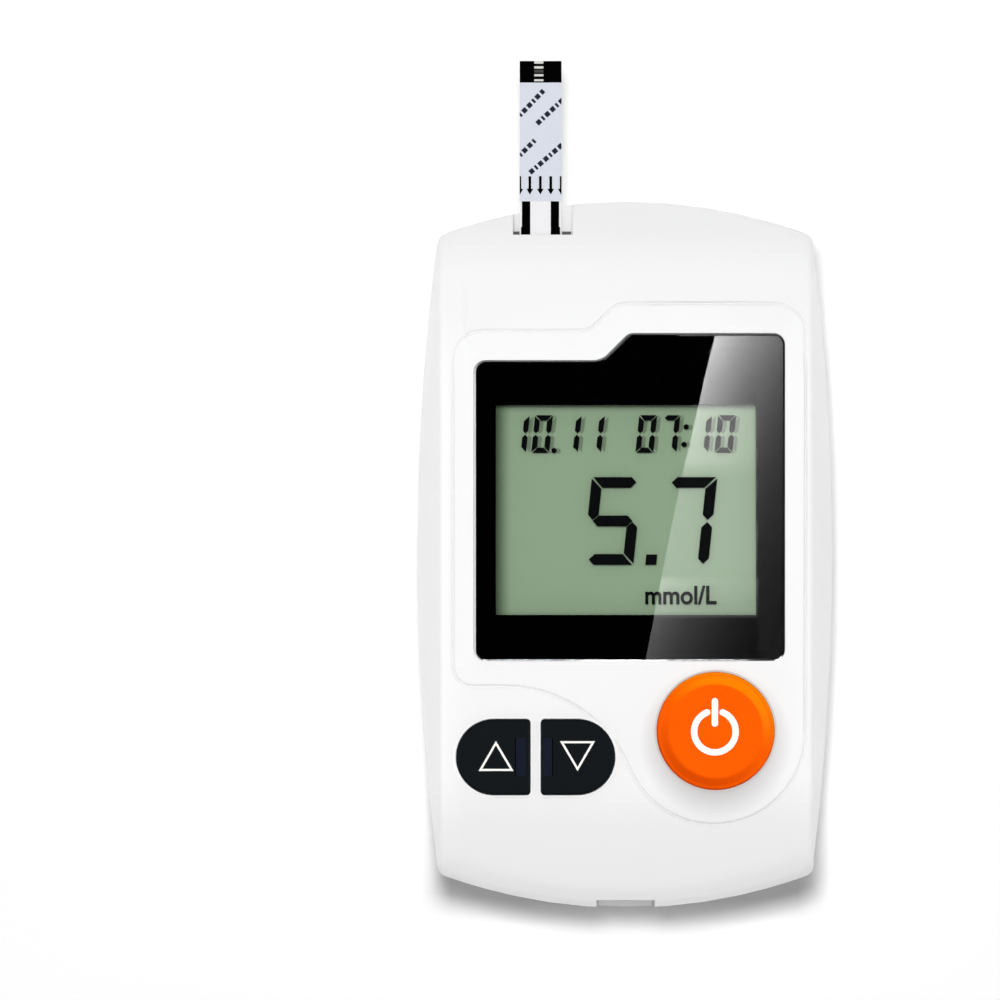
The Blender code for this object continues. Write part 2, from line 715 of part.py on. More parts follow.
def panel_outline():
    """The groove's path: a stepped panel that swells round the power button."""
    boss = (PANEL_BOSS_X, BOTTOM_Y + PANEL_BOSS_FROM_BOTTOM)
    left, right = PANEL_LEFT, boss[0] + PANEL_BOSS_RADIUS
    top = TOP_Y - PANEL_FROM_TOP
    low = top - PANEL_STEP_DROP
    shoulder_y = BOTTOM_Y + PANEL_SHOULDER_FROM_BOTTOM
    span = PANEL_SHOULDER_RADIUS + PANEL_BOSS_RADIUS
    rise = shoulder_y - PANEL_SHOULDER_RADIUS - boss[1]
    reach = math.sqrt(span**2 - rise**2)
    shoulder = (boss[0] - reach, boss[1] + rise)
    lean = math.degrees(math.atan2(-rise, reach))
    corners = [
        (right, boss[1]),
        (right, top),
        (PANEL_STEP_X + PANEL_STEP_DROP, top),
        (PANEL_STEP_X, low),
        (left, low),
        (left, shoulder_y),
        (shoulder[0], shoulder_y),
    ]
    radii = (
        PANEL_CORNER_RADIUS,
        PANEL_STEP_RADIUS,
        PANEL_STEP_RADIUS,
        PANEL_CORNER_RADIUS,
        PANEL_FOOT_RADIUS,
    )
    outline = arc(boss, PANEL_BOSS_RADIUS, 180 + lean, 360, 24)
    for i, radius in enumerate(radii, 1):
        outline += fillet(corners[i - 1], corners[i], corners[i + 1], radius)
    return outline + arc(shoulder, PANEL_SHOULDER_RADIUS, 90, lean, 12)[:-1]


def arrow_outline(side, grow=0):
    """A key with a half-round outer end and a square inner end, about its middle."""
    radius = ARROW_HEIGHT / 2 + grow
    inner = ARROW_LENGTH / 2 + grow
    centre = ARROW_HEIGHT / 2 - ARROW_LENGTH / 2
    corner = ARROW_CORNER_RADIUS + grow
    outline = arc((centre, 0), radius, 90, 270, 16)
    outline += fillet((centre, -radius), (inner, -radius), (inner, 0), corner, 3)
    outline += fillet((inner, 0), (inner, radius), (centre, radius), corner, 3)
    return [(-side * x, -side * y) for x, y in outline]


def groove_cutter():
    """A thin square bar, on edge, that follows the panel's outline over the front."""
    curve = bpy.data.curves.new("panel_groove", "CURVE")
    curve.dimensions = "3D"
    curve.bevel_depth = GROOVE_RADIUS
    curve.bevel_resolution = 0
    outline = panel_outline()
    spline = curve.splines.new("POLY")
    spline.points.add(len(outline) - 1)
    spline.use_cyclic_u = True
    for point, (x, y) in zip(spline.points, outline):
        point.co = (x, y, face_height(x, y), 1)
    return curve_as_mesh(bpy.data.objects.new("panel_groove", curve), "panel_groove")


def screw_bore(name, place, low, high):
    return cylinder(name, SCREW_RADIUS + SCREW_CLEARANCE, low, high, place, sides=16)


def front_hollow():
    """The hollow inside the front cover, which leaves its screw bosses and strip hood."""
    hollow = front_form("front_hollow", WALL, FACE_WALL, skirt=OVERRUN)
    for i, place in enumerate(CASE_SCREW_PLACES):
        cut(hollow, cylinder(f"case_boss_{i}", BOSS_RADIUS, 0, CASE_DEPTH, place))
    for i, place in enumerate(BOARD_SCREW_PLACES):
        low = BOARD_FACE + BOND
        cut(hollow, cylinder(f"board_boss_{i}", BOSS_RADIUS, low, CASE_DEPTH, place))
    reach = NOTCH_WIDTH / 2 + HOOD_WALL
    hood = box(
        "strip_hood",
        (NOTCH_X - reach, HOOD_REAR, SLOT_FLOOR - HOOD_WALL),
        (NOTCH_X + reach, CASE_LENGTH, CASE_DEPTH + OVERRUN),
    )
    return cut(hollow, hood)


def lip_rebate():
    """The ring that the rear cover's lip takes up inside the front cover."""
    low = PARTING_HIGH - OVERRUN
    rebate = prism("lip_rebate", LIP_INSET - GAP, low, LIP_TOP + GAP)
    return cut(rebate, prism("lip_rebate_core", WALL + GAP, low - GAP, LIP_TOP + 2 * GAP))


def front_openings():
    """Everything that is cut through the front cover."""
    above = CASE_DEPTH + OVERRUN
    reach = WINDOW_REACH + APERTURE_MARGIN
    yield plate("lens_pocket", lens_outline(LENS_CLEARANCE), POCKET_FLOOR, above)
    yield box(
        "display_aperture",
        (-reach, WINDOW_LOW - APERTURE_MARGIN, CEILING - OVERRUN / 2),
        (reach, WINDOW_HIGH + APERTURE_MARGIN, above),
    )
    low = CEILING - OVERRUN
    radius = POWER_RADIUS + BUTTON_CLEARANCE
    yield cylinder("power_hole", radius, low, above, BUTTON_PLACES["power"], sides=48)
    for name, side in (("up", -1), ("down", 1)):
        outline = arrow_outline(side, BUTTON_CLEARANCE)
        yield plate(f"{name}_hole", outline, low, above, (*BUTTON_PLACES[name], 0))
    yield groove_cutter()
    half_notch = NOTCH_WIDTH / 2
    yield box(
        "strip_notch",
        (NOTCH_X - half_notch, NOTCH_Y, STRIP_BACK - GAP),
        (NOTCH_X + half_notch, CASE_LENGTH, above),
    )
    yield box(
        "strip_slit",
        (NOTCH_X - half_notch, HOOD_REAR - OVERRUN, STRIP_BACK - GAP),
        (NOTCH_X + half_notch, NOTCH_Y + GAP, STRIP_FACE + GAP),
    )
    yield box(
        "port_clearance",
        (STRIP_X - PORT_WIDTH / 2 - GAP, PORT_REAR - GAP, BOARD_FACE),
        (STRIP_X + PORT_WIDTH / 2 + GAP, PORT_FRONT + GAP / 2, PORT_FACE + GAP),
    )
    reach = TAB_WIDTH / 2 + GAP
    yield box(
        "tab_notch",
        (-reach, -CASE_LENGTH, PARTING_HIGH - OVERRUN),
        (reach, BOTTOM_Y + TAB_THICKNESS + GAP, above),
    )
    for i, place in enumerate(CASE_SCREW_PLACES):
        top = WEB_BACK + CASE_SCREW_LENGTH + GAP
        yield screw_bore(f"case_bore_{i}", place, 0, top)
    for i, place in enumerate(BOARD_SCREW_PLACES):
        top = BOARD_BACK + BOARD_SCREW_LENGTH + GAP
        yield screw_bore(f"board_bore_{i}", place, BOARD_BACK, top)
    yield lip_rebate()


def front_cover():
    cover = cut(front_form("front_blank"), front_hollow(), *front_openings())
    finish_part(cover, "front_cover", "white_plastic")


def rear_hollow():
    """The hollow inside the rear cover, which leaves the battery well and screw posts."""
    hollow = back_form("rear_hollow", PARTING_HEIGHT + OVERRUN, WALL)
    reach = DOOR_WIDTH / 2 + GAP + WELL_WALL
    well = box(
        "well_block",
        (-reach, -CASE_LENGTH, -OVERRUN),
        (reach, DOOR_Y + GAP + WELL_WALL, WELL_TOP),
    )
    cut(hollow, well)
    for i, place in enumerate(CASE_SCREW_PLACES):
        cut(hollow, cylinder(f"case_post_{i}", POST_RADIUS, -OVERRUN, PARTING_LOW, place))
    return hollow


def rail_bar(name, start, end, grow=0):
    """A bar across the battery door whose two ends are the door's rails."""
    reach = DOOR_WIDTH / 2 + RAIL_WIDTH + grow
    low = (-reach, start, RAIL_HEIGHT - grow)
    return box(name, low, (reach, end, RAIL_HEIGHT + RAIL_THICKNESS + grow))


def end_channel():
    """The channel in the end wall that the battery door's latch tab slides in."""
    reach = TAB_WIDTH / 2 + GAP
    channel = box(
        "tab_channel",
        (-reach, -CASE_LENGTH, -OVERRUN),
        (reach, CELL_Y - WELL_RADIUS, PARTING_HIGH + OVERRUN),
    )
    inset = TAB_THICKNESS + GAP
    return cut(channel, back_form("tab_channel_core", PARTING_HIGH + 2 * OVERRUN, inset))


def rear_openings():
    """Everything that is cut through the rear cover."""
    reach = DOOR_WIDTH / 2 + GAP
    recess = box(
        "door_recess",
        (-reach, -CASE_LENGTH, -OVERRUN),
        (reach, DOOR_Y + GAP, DOOR_THICKNESS + GAP),
    )
    yield join(recess, rail_bar("rail_grooves", OVERRUN - CASE_LENGTH, DOOR_Y, GAP))
    yield end_channel()
    yield cylinder("cell_well", WELL_RADIUS, -OVERRUN, WELL_CEILING, (0, CELL_Y), sides=40)
    side = SPRING_WIDTH / 2 + GAP
    far = POSITIVE_REACH + SPRING_LIFT + SPRING_THICKNESS / 2 + GAP
    yield box(
        "positive_pocket",
        (-far, CELL_Y - side, DOOR_THICKNESS),
        (-CELL_RADIUS + GAP, CELL_Y + side, WELL_TOP + GAP),
    )
    leg = CELL_Y + SPRING_REACH
    half = SPRING_THICKNESS / 2 + GAP
    yield box(
        "negative_slot",
        (-side, leg - half, WELL_CEILING - GAP),
        (side, leg + half, WELL_TOP + GAP),
    )
    radius = SCREW_HEAD_RADIUS + GAP
    for i, place in enumerate(CASE_SCREW_PLACES):
        yield cylinder(f"counterbore_{i}", radius, -OVERRUN, WEB_BACK, place, sides=20)
        yield screw_bore(f"post_bore_{i}", place, WEB_BACK - GAP, PARTING_HIGH)
    width, height = LABEL_WIDTH, LABEL_HEIGHT
    outline = rounded_box(width + 2 * GAP, height + 2 * GAP, LABEL_RADIUS)
    depth = LABEL_SINK + LABEL_THICKNESS + BOND
    yield plate("label_recess", outline, -OVERRUN, depth, (0, LABEL_Y, 0))


def rear_cover():
    blank = back_form("rear_blank", PARTING_LOW)
    join(blank, prism("rear_lip", LIP_INSET, PARTING_LOW - WALL, LIP_TOP))
    cover = cut(blank, rear_hollow(), *rear_openings())
    finish_part(cover, "rear_cover", "white_plastic")


def battery_cover():
    """A plate flush with the back, with rails, finger grips and a latch tab at its end."""
    form = back_form("door_blank", TAB_TOP)
    tab_room = back_form("tab_core", TAB_TOP + OVERRUN, TAB_THICKNESS)
    floor = box(
        "tab_core_floor",
        (-CASE_WIDTH, -CASE_LENGTH, -OVERRUN),
        (CASE_WIDTH, CASE_LENGTH, DOOR_THICKNESS),
    )
    cut(tab_room, floor)
    keep = box(
        "door_footprint",
        (-DOOR_WIDTH / 2, -CASE_LENGTH, -OVERRUN),
        (DOOR_WIDTH / 2, DOOR_Y, TAB_TOP + OVERRUN),
    )
    boolean(form, keep, "INTERSECT")
    cut(form, tab_room)
    for side in (-1, 1):
        beside = box(
            f"beside_tab_{side}",
            (side * TAB_WIDTH / 2, -CASE_LENGTH, DOOR_THICKNESS),
            (side * CASE_WIDTH, CASE_LENGTH, TAB_TOP + OVERRUN),
        )
        cut(form, beside)
    join(form, rail_bar("rails", BOTTOM_Y + RAIL_END, DOOR_Y - GAP))
    for i in range(GRIP_COUNT):
        grip = cylinder(f"grip_{i}", GRIP_RADIUS, -GRIP_LENGTH / 2, GRIP_LENGTH / 2, sides=10)
        grip.data.transform(Matrix.Rotation(math.pi / 2, 4, "Y"))
        y = BOTTOM_Y + GRIP_FROM_BOTTOM + i * GRIP_PITCH
        grip.location = (0, y, -GRIP_RADIUS / 4)
        cut(form, grip)
    finish_part(form, "battery_cover", "white_plastic")


def display_lens():
    lens = plate("lens_blank", lens_outline(), LENS_BACK, LENS_FACE)
    finish_part(lens, "display_lens", "clear_plastic")


def lens_gasket():
    frame = plate("gasket_blank", lens_outline(), GASKET_BACK, GASKET_FACE)
    x = WINDOW_REACH
    window = box(
        "gasket_window",
        (-x, WINDOW_LOW, GASKET_BACK - OVERRUN),
        (x, WINDOW_HIGH, GASKET_FACE + OVERRUN),
    )
    finish_part(cut(frame, window), "lens_gasket", "black_film")


def lcd_glass():
    """Two glass plates. The front one is longer and carries the contacts below."""
    front = box("lcd_front", (-LCD_X, LCD_LOW, LCD_LEDGE), (LCD_X, LCD_HIGH, LCD_FACE))
    back = box(
        "lcd_back",
        (-LCD_X, LCD_LOW + LCD_LEDGE_WIDTH, LCD_BACK),
        (LCD_X, LCD_HIGH, LCD_LEDGE + LCD_FRONT_THICKNESS / 2),
    )
    finish_part(join(front, back), "lcd_glass", "display_glass")


def lcd_frame():
    """A tray on the board with a pocket for the display above and a hollow below."""
    rim = GAP + LCD_FRAME_WALL
    base = BOARD_FACE + BOND
    frame = box(
        "frame_blank",
        (-LCD_X - rim, LCD_LOW - rim, base),
        (LCD_X + rim, LCD_HIGH + rim, LCD_FACE - GAP),
    )
    pocket = box(
        "frame_pocket",
        (-LCD_X - GAP, LCD_LOW - GAP, LCD_SEAT),
        (LCD_X + GAP, LCD_HIGH + GAP, CASE_DEPTH),
    )
    under = box(
        "frame_hollow",
        (-LCD_X - GAP, ZEBRA_HIGH + GAP + LCD_FRAME_WALL, base - OVERRUN),
        (LCD_X + GAP, LCD_HIGH + GAP, LCD_SEAT - LCD_FRAME_FLOOR),
    )
    slot = box(
        "zebra_slot",
        (-LCD_X - GAP, ZEBRA_LOW - GAP, base - OVERRUN),
        (LCD_X + GAP, ZEBRA_HIGH + GAP, LCD_SEAT + GAP),
    )
    finish_part(cut(frame, pocket, under, slot), "lcd_frame", "tray_plastic")


def zebra_connector():
    strip = box(
        "zebra_blank",
        (-LCD_X, ZEBRA_LOW, BOARD_FACE + BOND),
        (LCD_X, ZEBRA_HIGH, LCD_LEDGE - BOND),
    )
    finish_part(strip, "zebra_connector", "rubber")


def main_board():
    """The circuit board, notched at its corners for the casing's screw bosses."""
    side = CORNER_SPAN / 2 - WALL - BOARD_MARGIN
    low, high = BOARD_BACK - OVERRUN, BOARD_FACE + OVERRUN
    board = box(
        "board_blank",
        (-side, BOTTOM_Y + BOARD_FROM_BOTTOM, BOARD_BACK),
        (side, PORT_FRONT, BOARD_FACE),
    )
    room = POST_RADIUS + GAP
    for i, (x, y) in enumerate(CASE_SCREW_PLACES):
        turn_x, turn_y = math.copysign(1, x), math.copysign(1, y)
        near = (x - turn_x * room, y - turn_y * room, low)
        far = (turn_x * CASE_WIDTH, turn_y * CASE_LENGTH, high)
        cut(board, box(f"board_corner_{i}", near, far))
    for i, place in enumerate(BOARD_SCREW_PLACES):
        cut(board, screw_bore(f"board_hole_{i}", place, low, high))
    finish_part(board, "main_board", "board_laminate")


def chip(name, width, length, thickness, x_share, y_share):
    """A component soldered under the board."""
    face = BOARD_BACK - BOND
    x, y = x_share * CORNER_SPAN, y_share * CASE_LENGTH
    low = (x - width / 2, y - length / 2, face - thickness)
    body = box(f"{name}_blank", low, (x + width / 2, y + length / 2, face))
    finish_part(body, f"{name}_chip", "chip_resin")


def crystal():
    half = CRYSTAL_LENGTH / 2
    can = cylinder("crystal_blank", CRYSTAL_RADIUS, -half, half, sides=16)
    can.data.transform(Matrix.Rotation(math.pi / 2, 4, "Y"))
    x, y = CRYSTAL_X_SHARE * CORNER_SPAN, CRYSTAL_Y_SHARE * CASE_LENGTH
    can.location = (x, y, BOARD_BACK - BOND - CRYSTAL_RADIUS)
    finish_part(bevel(can, CRYSTAL_RADIUS / 4), "crystal", "can_metal")


def buzzer():
    top = BOARD_BACK - BOND
    low = top - BUZZER_HEIGHT
    profile = [
        (0, top),
        (BUZZER_RADIUS, top),
        (BUZZER_RADIUS, low),
        (BUZZER_HOLE_RADIUS, low),
        (BUZZER_HOLE_RADIUS, low + BUZZER_HOLE_DEPTH),
        (0, low + BUZZER_HOLE_DEPTH),
    ]
    place = (BUZZER_X_SHARE * CORNER_SPAN, BUZZER_Y_SHARE * CASE_LENGTH, 0)
    disc = turned("buzzer_blank", profile, place, steps=28)
    finish_part(disc, "buzzer", "chip_resin")


def power_button():
    top = CASE_DEPTH + POWER_RISE
    bevel_width = POWER_RADIUS - POWER_FACE_RADIUS
    shoulder = top - POWER_BEVEL_FALL
    profile = [
        (0, top - POWER_DISH),
        (POWER_FACE_RADIUS / 2, top - POWER_DISH * 3 / 4),
        (POWER_FACE_RADIUS, top),
    ]
    for angle in (20, 40, 60, 80):
        turn = math.radians(angle)
        radius = POWER_FACE_RADIUS + bevel_width * math.sin(turn)
        profile.append((radius, shoulder + POWER_BEVEL_FALL * math.cos(turn)))
    profile += [
        (POWER_RADIUS, shoulder - GAP),
        (POWER_RADIUS, FLANGE_FACE),
        (POWER_RADIUS + POWER_FLANGE_WIDTH, FLANGE_FACE),
        (POWER_RADIUS + POWER_FLANGE_WIDTH, FLANGE_BACK),
        (STEM_RADIUS, FLANGE_BACK),
        (STEM_RADIUS, STEM_END),
        (0, STEM_END),
    ]
    cap = turned("power_blank", profile, (*BUTTON_PLACES["power"], 0), steps=48)
    finish_part(cap, "power_button", "orange_plastic")


def arrow_button(name, side):
    """A D-shaped key on a square flange that stays inside the casing, with a stem."""
    place = (*BUTTON_PLACES[name], 0)
    top = CASE_DEPTH + ARROW_RISE
    cap = plate(f"{name}_cap", arrow_outline(side), FLANGE_BACK + GAP, top, place)
    bevel(cap, ARROW_EDGE_BEVEL)
    reach = ARROW_HEIGHT / 2 + ARROW_FLANGE_WIDTH
    outer = side * (ARROW_LENGTH / 2 - ARROW_FLANGE_INSET)
    inner = -side * (ARROW_LENGTH + ARROW_BAR - GAP) / 2
    flange = box(
        f"{name}_flange",
        (outer, -reach, FLANGE_BACK),
        (inner, reach, FLANGE_FACE),
        place,
    )
    stem_top = FLANGE_FACE - GAP
    stem = cylinder(f"{name}_stem", STEM_RADIUS, STEM_END, stem_top, BUTTON_PLACES[name])
    finish_part(join(cap, flange, stem), f"{name}_button", "navy_plastic")


def switch(name):
    """A sprung switch under a button: a base with a bore, and the plunger that moves."""
    place = BUTTON_PLACES[name]
    half = SWITCH_WIDTH / 2
    base = box(
        f"{name}_base", (-half, -half, SWITCH_BASE), (half, half, SWITCH_FACE), (*place, 0)
    )
    bore = cylinder(
        f"{name}_bore",
        PLUNGER_RADIUS + PLUNGER_CLEARANCE,
        SWITCH_FACE - SWITCH_BORE,
        SWITCH_FACE + OVERRUN,
        place,
        sides=16,
    )
    finish_part(cut(base, bore), f"{name}_switch", "can_metal")
    low = SWITCH_FACE - PLUNGER_DEPTH
    plunger = cylinder(f"{name}_rod", PLUNGER_RADIUS, low, PLUNGER_FACE, place, sides=16)
    finish_part(plunger, f"{name}_switch_plunger", "chip_resin")


def strip_port():
    """The socket of the test strip, with a stop behind and a bay for its contacts."""
    port = box(
        "port_blank",
        (STRIP_X - PORT_WIDTH / 2, PORT_REAR, PORT_BASE),
        (STRIP_X + PORT_WIDTH / 2, PORT_FRONT, PORT_FACE),
    )
    reach = STRIP_WIDTH / 2 + GAP
    slot = box(
        "port_slot",
        (STRIP_X - reach, PORT_REAR + PORT_STOP, SLOT_FLOOR),
        (STRIP_X + reach, PORT_FRONT + OVERRUN, SLOT_ROOF),
    )
    reach = CONTACT_PITCH * (CONTACT_COUNT - 1) / 2 + CONTACT_WIDTH / 2 + GAP
    bay = box(
        "contact_bay",
        (STRIP_X - reach, PORT_REAR - OVERRUN, STRIP_FACE),
        (STRIP_X + reach, PORT_REAR + PORT_STOP + CONTACT_REACH + GAP, BAY_ROOF),
    )
    finish_part(cut(port, slot, bay), "strip_port", "grey_plastic")


def strip_contacts():
    """Fingers from the board, over the port's stop and down to just above the strip."""
    foot = BOARD_FACE + BOND + CONTACT_THICKNESS / 2
    over = (SLOT_ROOF + BAY_ROOF) / 2
    touch = STRIP_FACE + (GAP + CONTACT_THICKNESS) / 2
    path = [
        (-2 * CONTACT_FOOT, foot),
        (-CONTACT_FOOT, foot),
        (-CONTACT_FOOT, over),
        (PORT_STOP, over),
        (PORT_STOP + CONTACT_REACH * 3 / 4, touch),
        (PORT_STOP + CONTACT_REACH, over),
    ]
    for i in range(CONTACT_COUNT):
        x = STRIP_X + (i - (CONTACT_COUNT - 1) / 2) * CONTACT_PITCH
        at = (x, PORT_REAR, 0)
        finger = bent_strip(f"finger_{i}", path, CONTACT_WIDTH, CONTACT_THICKNESS, at)
        finish_part(finger, f"strip_contact_{i + 1}", "gold_plate")


def test_strip():
    """The strip, with its origin where it leaves the casing."""
    x = STRIP_WIDTH / 2
    corners = [(-x, -STRIP_INSERTED), (x, -STRIP_INSERTED), (x, STRIP_OUT), (-x, STRIP_OUT)]
    outline = rounded([(*corner, STRIP_CORNER) for corner in corners], steps=3)
    at = (STRIP_X, NOTCH_Y, STRIP_BACK)
    strip = plate("strip_blank", outline, 0, STRIP_THICKNESS, at)
    finish_part(strip, "test_strip", "strip_film")


def coin_cell():
    """The cell, its wide can towards the battery cover."""
    ledge = CELL_FACE - CELL_STEP
    profile = [
        (0, CELL_FACE),
        (CELL_RADIUS - 2 * CELL_RIM, CELL_FACE),
        (CELL_RADIUS - 2 * CELL_RIM, ledge),
        (CELL_RADIUS - CELL_RIM, ledge),
        (CELL_RADIUS, ledge - CELL_RIM),
        (CELL_RADIUS, CELL_BACK + CELL_STEP),
        (CELL_RADIUS - CELL_STEP, CELL_BACK),
        (0, CELL_BACK),
    ]
    cell = turned("cell_blank", profile, (0, CELL_Y, 0), steps=40)
    finish_part(cell, "coin_cell", "can_metal")


def battery_contacts():
    half = SPRING_THICKNESS / 2
    top = BOARD_BACK - BOND
    touch = CELL_FACE + GAP + half
    upper = WELL_CEILING - GAP / 2 - half
    path = [
        (-SPRING_WIDTH / 2, between(touch, upper, 1 / 2)),
        (0, touch),
        (SPRING_REACH, upper),
        (SPRING_REACH, top),
    ]
    negative = bent_strip(
        "negative_leaf", path, SPRING_WIDTH, SPRING_THICKNESS, (0, CELL_Y, 0)
    )
    finish_part(negative, "battery_contact_negative", "spring_steel")
    path = [
        (POSITIVE_REACH + SPRING_LIFT, CELL_BACK + SPRING_LIFT),
        (POSITIVE_REACH, between(CELL_BACK, CELL_FACE, 1 / 2)),
        (POSITIVE_REACH + SPRING_LIFT, CELL_FACE),
        (POSITIVE_REACH + SPRING_LIFT, top),
    ]
    positive = bent_strip(
        "positive_leaf", path, SPRING_WIDTH, SPRING_THICKNESS, (0, CELL_Y, 0), math.pi / 2
    )
    finish_part(positive, "battery_contact_positive", "spring_steel")


def screw(name, place, seat, length):
    """A screw driven upwards, its head under a seat."""
    top = seat - BOND
    low = top - SCREW_HEAD_HEIGHT
    profile = [
        (0, top + length),
        (SCREW_RADIUS, top + length - SCREW_RADIUS),
        (SCREW_RADIUS, top),
        (SCREW_HEAD_RADIUS, top),
        (SCREW_HEAD_RADIUS, low + SCREW_HEAD_HEIGHT / 4),
        (SCREW_HEAD_RADIUS - SCREW_HEAD_HEIGHT / 4, low),
        (0, low),
    ]
    body = turned(f"{name}_blank", profile, (*place, 0), steps=18)
    reach, half = SCREW_HEAD_RADIUS * 2 / 3, SCREW_SLOT_WIDTH / 2
    depth = low + SCREW_SLOT_DEPTH
    at = (*place, 0)
    across = box(f"{name}_cross_x", (-reach, -half, low - GAP), (reach, half, depth), at)
    low_end, high_end = (-half, -reach, low - 2 * GAP), (half, reach, depth - BOND)
    along = box(f"{name}_cross_y", low_end, high_end, at)
    finish_part(cut(body, across, along), name, "spring_steel")


def rear_label():
    outline = rounded_box(LABEL_WIDTH, LABEL_HEIGHT, LABEL_RADIUS)
    high = LABEL_SINK + LABEL_THICKNESS
    label = plate("label_blank", outline, LABEL_SINK, high, (0, LABEL_Y, 0))
    finish_part(label, "rear_label", "label_paper")


front_cover()
rear_cover()
battery_cover()
display_lens()
lens_gasket()
lcd_glass()
lcd_frame()
zebra_connector()
main_board()
chip(
    "processor",
    PROCESSOR_WIDTH,
    PROCESSOR_WIDTH,
    PROCESSOR_THICKNESS,
    PROCESSOR_X_SHARE,
    PROCESSOR_Y_SHARE,
)
chip("memory", MEMORY_WIDTH, MEMORY_LENGTH, MEMORY_THICKNESS, MEMORY_X_SHARE, MEMORY_Y_SHARE)
crystal()
buzzer()
power_button()
arrow_button("up", -1)
arrow_button("down", 1)
for button in BUTTON_PLACES:
    switch(button)
strip_port()
strip_contacts()
test_strip()
coin_cell()
battery_contacts()
for number, screw_place in enumerate(CASE_SCREW_PLACES, 1):
    screw(f"case_screw_{number}", screw_place, WEB_BACK, CASE_SCREW_LENGTH)
for number, screw_place in enumerate(BOARD_SCREW_PLACES, 1):
    screw(f"board_screw_{number}", screw_place, BOARD_BACK, BOARD_SCREW_LENGTH)
rear_label()
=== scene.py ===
import math

import bmesh
import bpy
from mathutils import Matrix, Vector


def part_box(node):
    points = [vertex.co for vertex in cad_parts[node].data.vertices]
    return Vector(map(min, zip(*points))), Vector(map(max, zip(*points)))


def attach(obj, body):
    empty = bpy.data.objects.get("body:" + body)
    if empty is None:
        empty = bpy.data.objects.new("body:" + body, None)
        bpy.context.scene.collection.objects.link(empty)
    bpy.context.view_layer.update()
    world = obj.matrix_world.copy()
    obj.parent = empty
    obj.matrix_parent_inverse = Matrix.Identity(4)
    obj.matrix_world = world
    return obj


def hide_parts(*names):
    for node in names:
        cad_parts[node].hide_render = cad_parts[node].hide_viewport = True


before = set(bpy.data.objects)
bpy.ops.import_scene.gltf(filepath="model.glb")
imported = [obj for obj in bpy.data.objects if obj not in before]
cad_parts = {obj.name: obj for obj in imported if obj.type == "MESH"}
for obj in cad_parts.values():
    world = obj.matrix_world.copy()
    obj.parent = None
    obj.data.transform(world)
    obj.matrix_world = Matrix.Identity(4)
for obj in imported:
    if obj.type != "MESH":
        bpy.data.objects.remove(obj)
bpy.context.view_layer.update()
mm = 0.001
black = (0.0, 0.0, 0.0, 1.0)
white = (1.0, 1.0, 1.0, 1.0)


def paint(red, green, blue):
    # screen colour, 0 to 255, to the linear colour that a shader takes
    shares = [value / 255 for value in (red, green, blue)]
    linear = [s / 12.92 if s <= 0.04045 else ((s + 0.055) / 1.055) ** 2.4 for s in shares]
    return (*linear, 1.0)


print("meter: shader groups")


def feed(tree, socket, value):
    # a number or colour is set on the socket, an output is linked to it
    if isinstance(value, (int, float, tuple)):
        socket.default_value = value
    elif value is not None:
        tree.links.new(value, socket)


def feedAll(tree, node, values):
    for label, value in values.items():
        feed(tree, node.inputs[label], value)
    return node


def newNode(tree, kind, **inputs):
    return feedAll(tree, tree.nodes.new(f"ShaderNode{kind}"), inputs)


def newGroup(name, colours, numbers):
    # group that gives a colour, a roughness and a height
    group = bpy.data.node_groups.new(name, "ShaderNodeTree")
    kinds = {"Vector": "Vector"} | dict.fromkeys(colours, "Color") | dict.fromkeys(numbers, "Float")
    for label, kind in kinds.items():
        socket = group.interface.new_socket(label, in_out="INPUT", socket_type=f"NodeSocket{kind}")
        if label in numbers:
            socket.default_value = numbers[label]
    for label, kind in (("Colour", "Color"), ("Roughness", "Float"), ("Height", "Float")):
        group.interface.new_socket(label, in_out="OUTPUT", socket_type=f"NodeSocket{kind}")
    return group, group.nodes.new("NodeGroupInput").outputs


def closeGroup(group, *results):
    out = group.nodes.new("NodeGroupOutput")
    for socket, result in zip(out.inputs, results):
        group.links.new(result, socket)
    return group


def noiseIn(tree, vector, scale, detail=2.0, roughness=0.5):
    values = {"Vector": vector, "Scale": scale, "Detail": detail, "Roughness": roughness}
    return newNode(tree, "TexNoise", **values).outputs["Fac"]


def mathIn(tree, operation, first, second=0.0, third=None):
    node = newNode(tree, "Math")
    node.operation = operation
    for socket, value in zip(node.inputs, (first, second, third)):
        feed(tree, socket, value)
    return node.outputs[0]


def mixIn(tree, share, first, second):
    node = newNode(tree, "Mix")
    node.data_type = "RGBA"
    for index, value in ((0, share), (6, first), (7, second)):
        feed(tree, node.inputs[index], value)
    return node.outputs[2]


def rangeIn(tree, value, low, high, toLow, toHigh, way="LINEAR"):
    node = newNode(tree, "MapRange")
    node.interpolation_type = way
    for socket, number in zip(node.inputs, (value, low, high, toLow, toHigh)):
        feed(tree, socket, number)
    return node.outputs[0]


def splitIn(tree, vector):
    return newNode(tree, "SeparateXYZ", Vector=vector).outputs


def vectorIn(tree, operation, first, second=None):
    node = newNode(tree, "VectorMath")
    node.operation = operation
    feed(tree, node.inputs[0], first)
    feed(tree, node.inputs[1], second)
    return node.outputs["Value"]


def productIn(tree, *values):
    product = values[0]
    for value in values[1:]:
        product = mathIn(tree, "MULTIPLY", product, value)
    return product


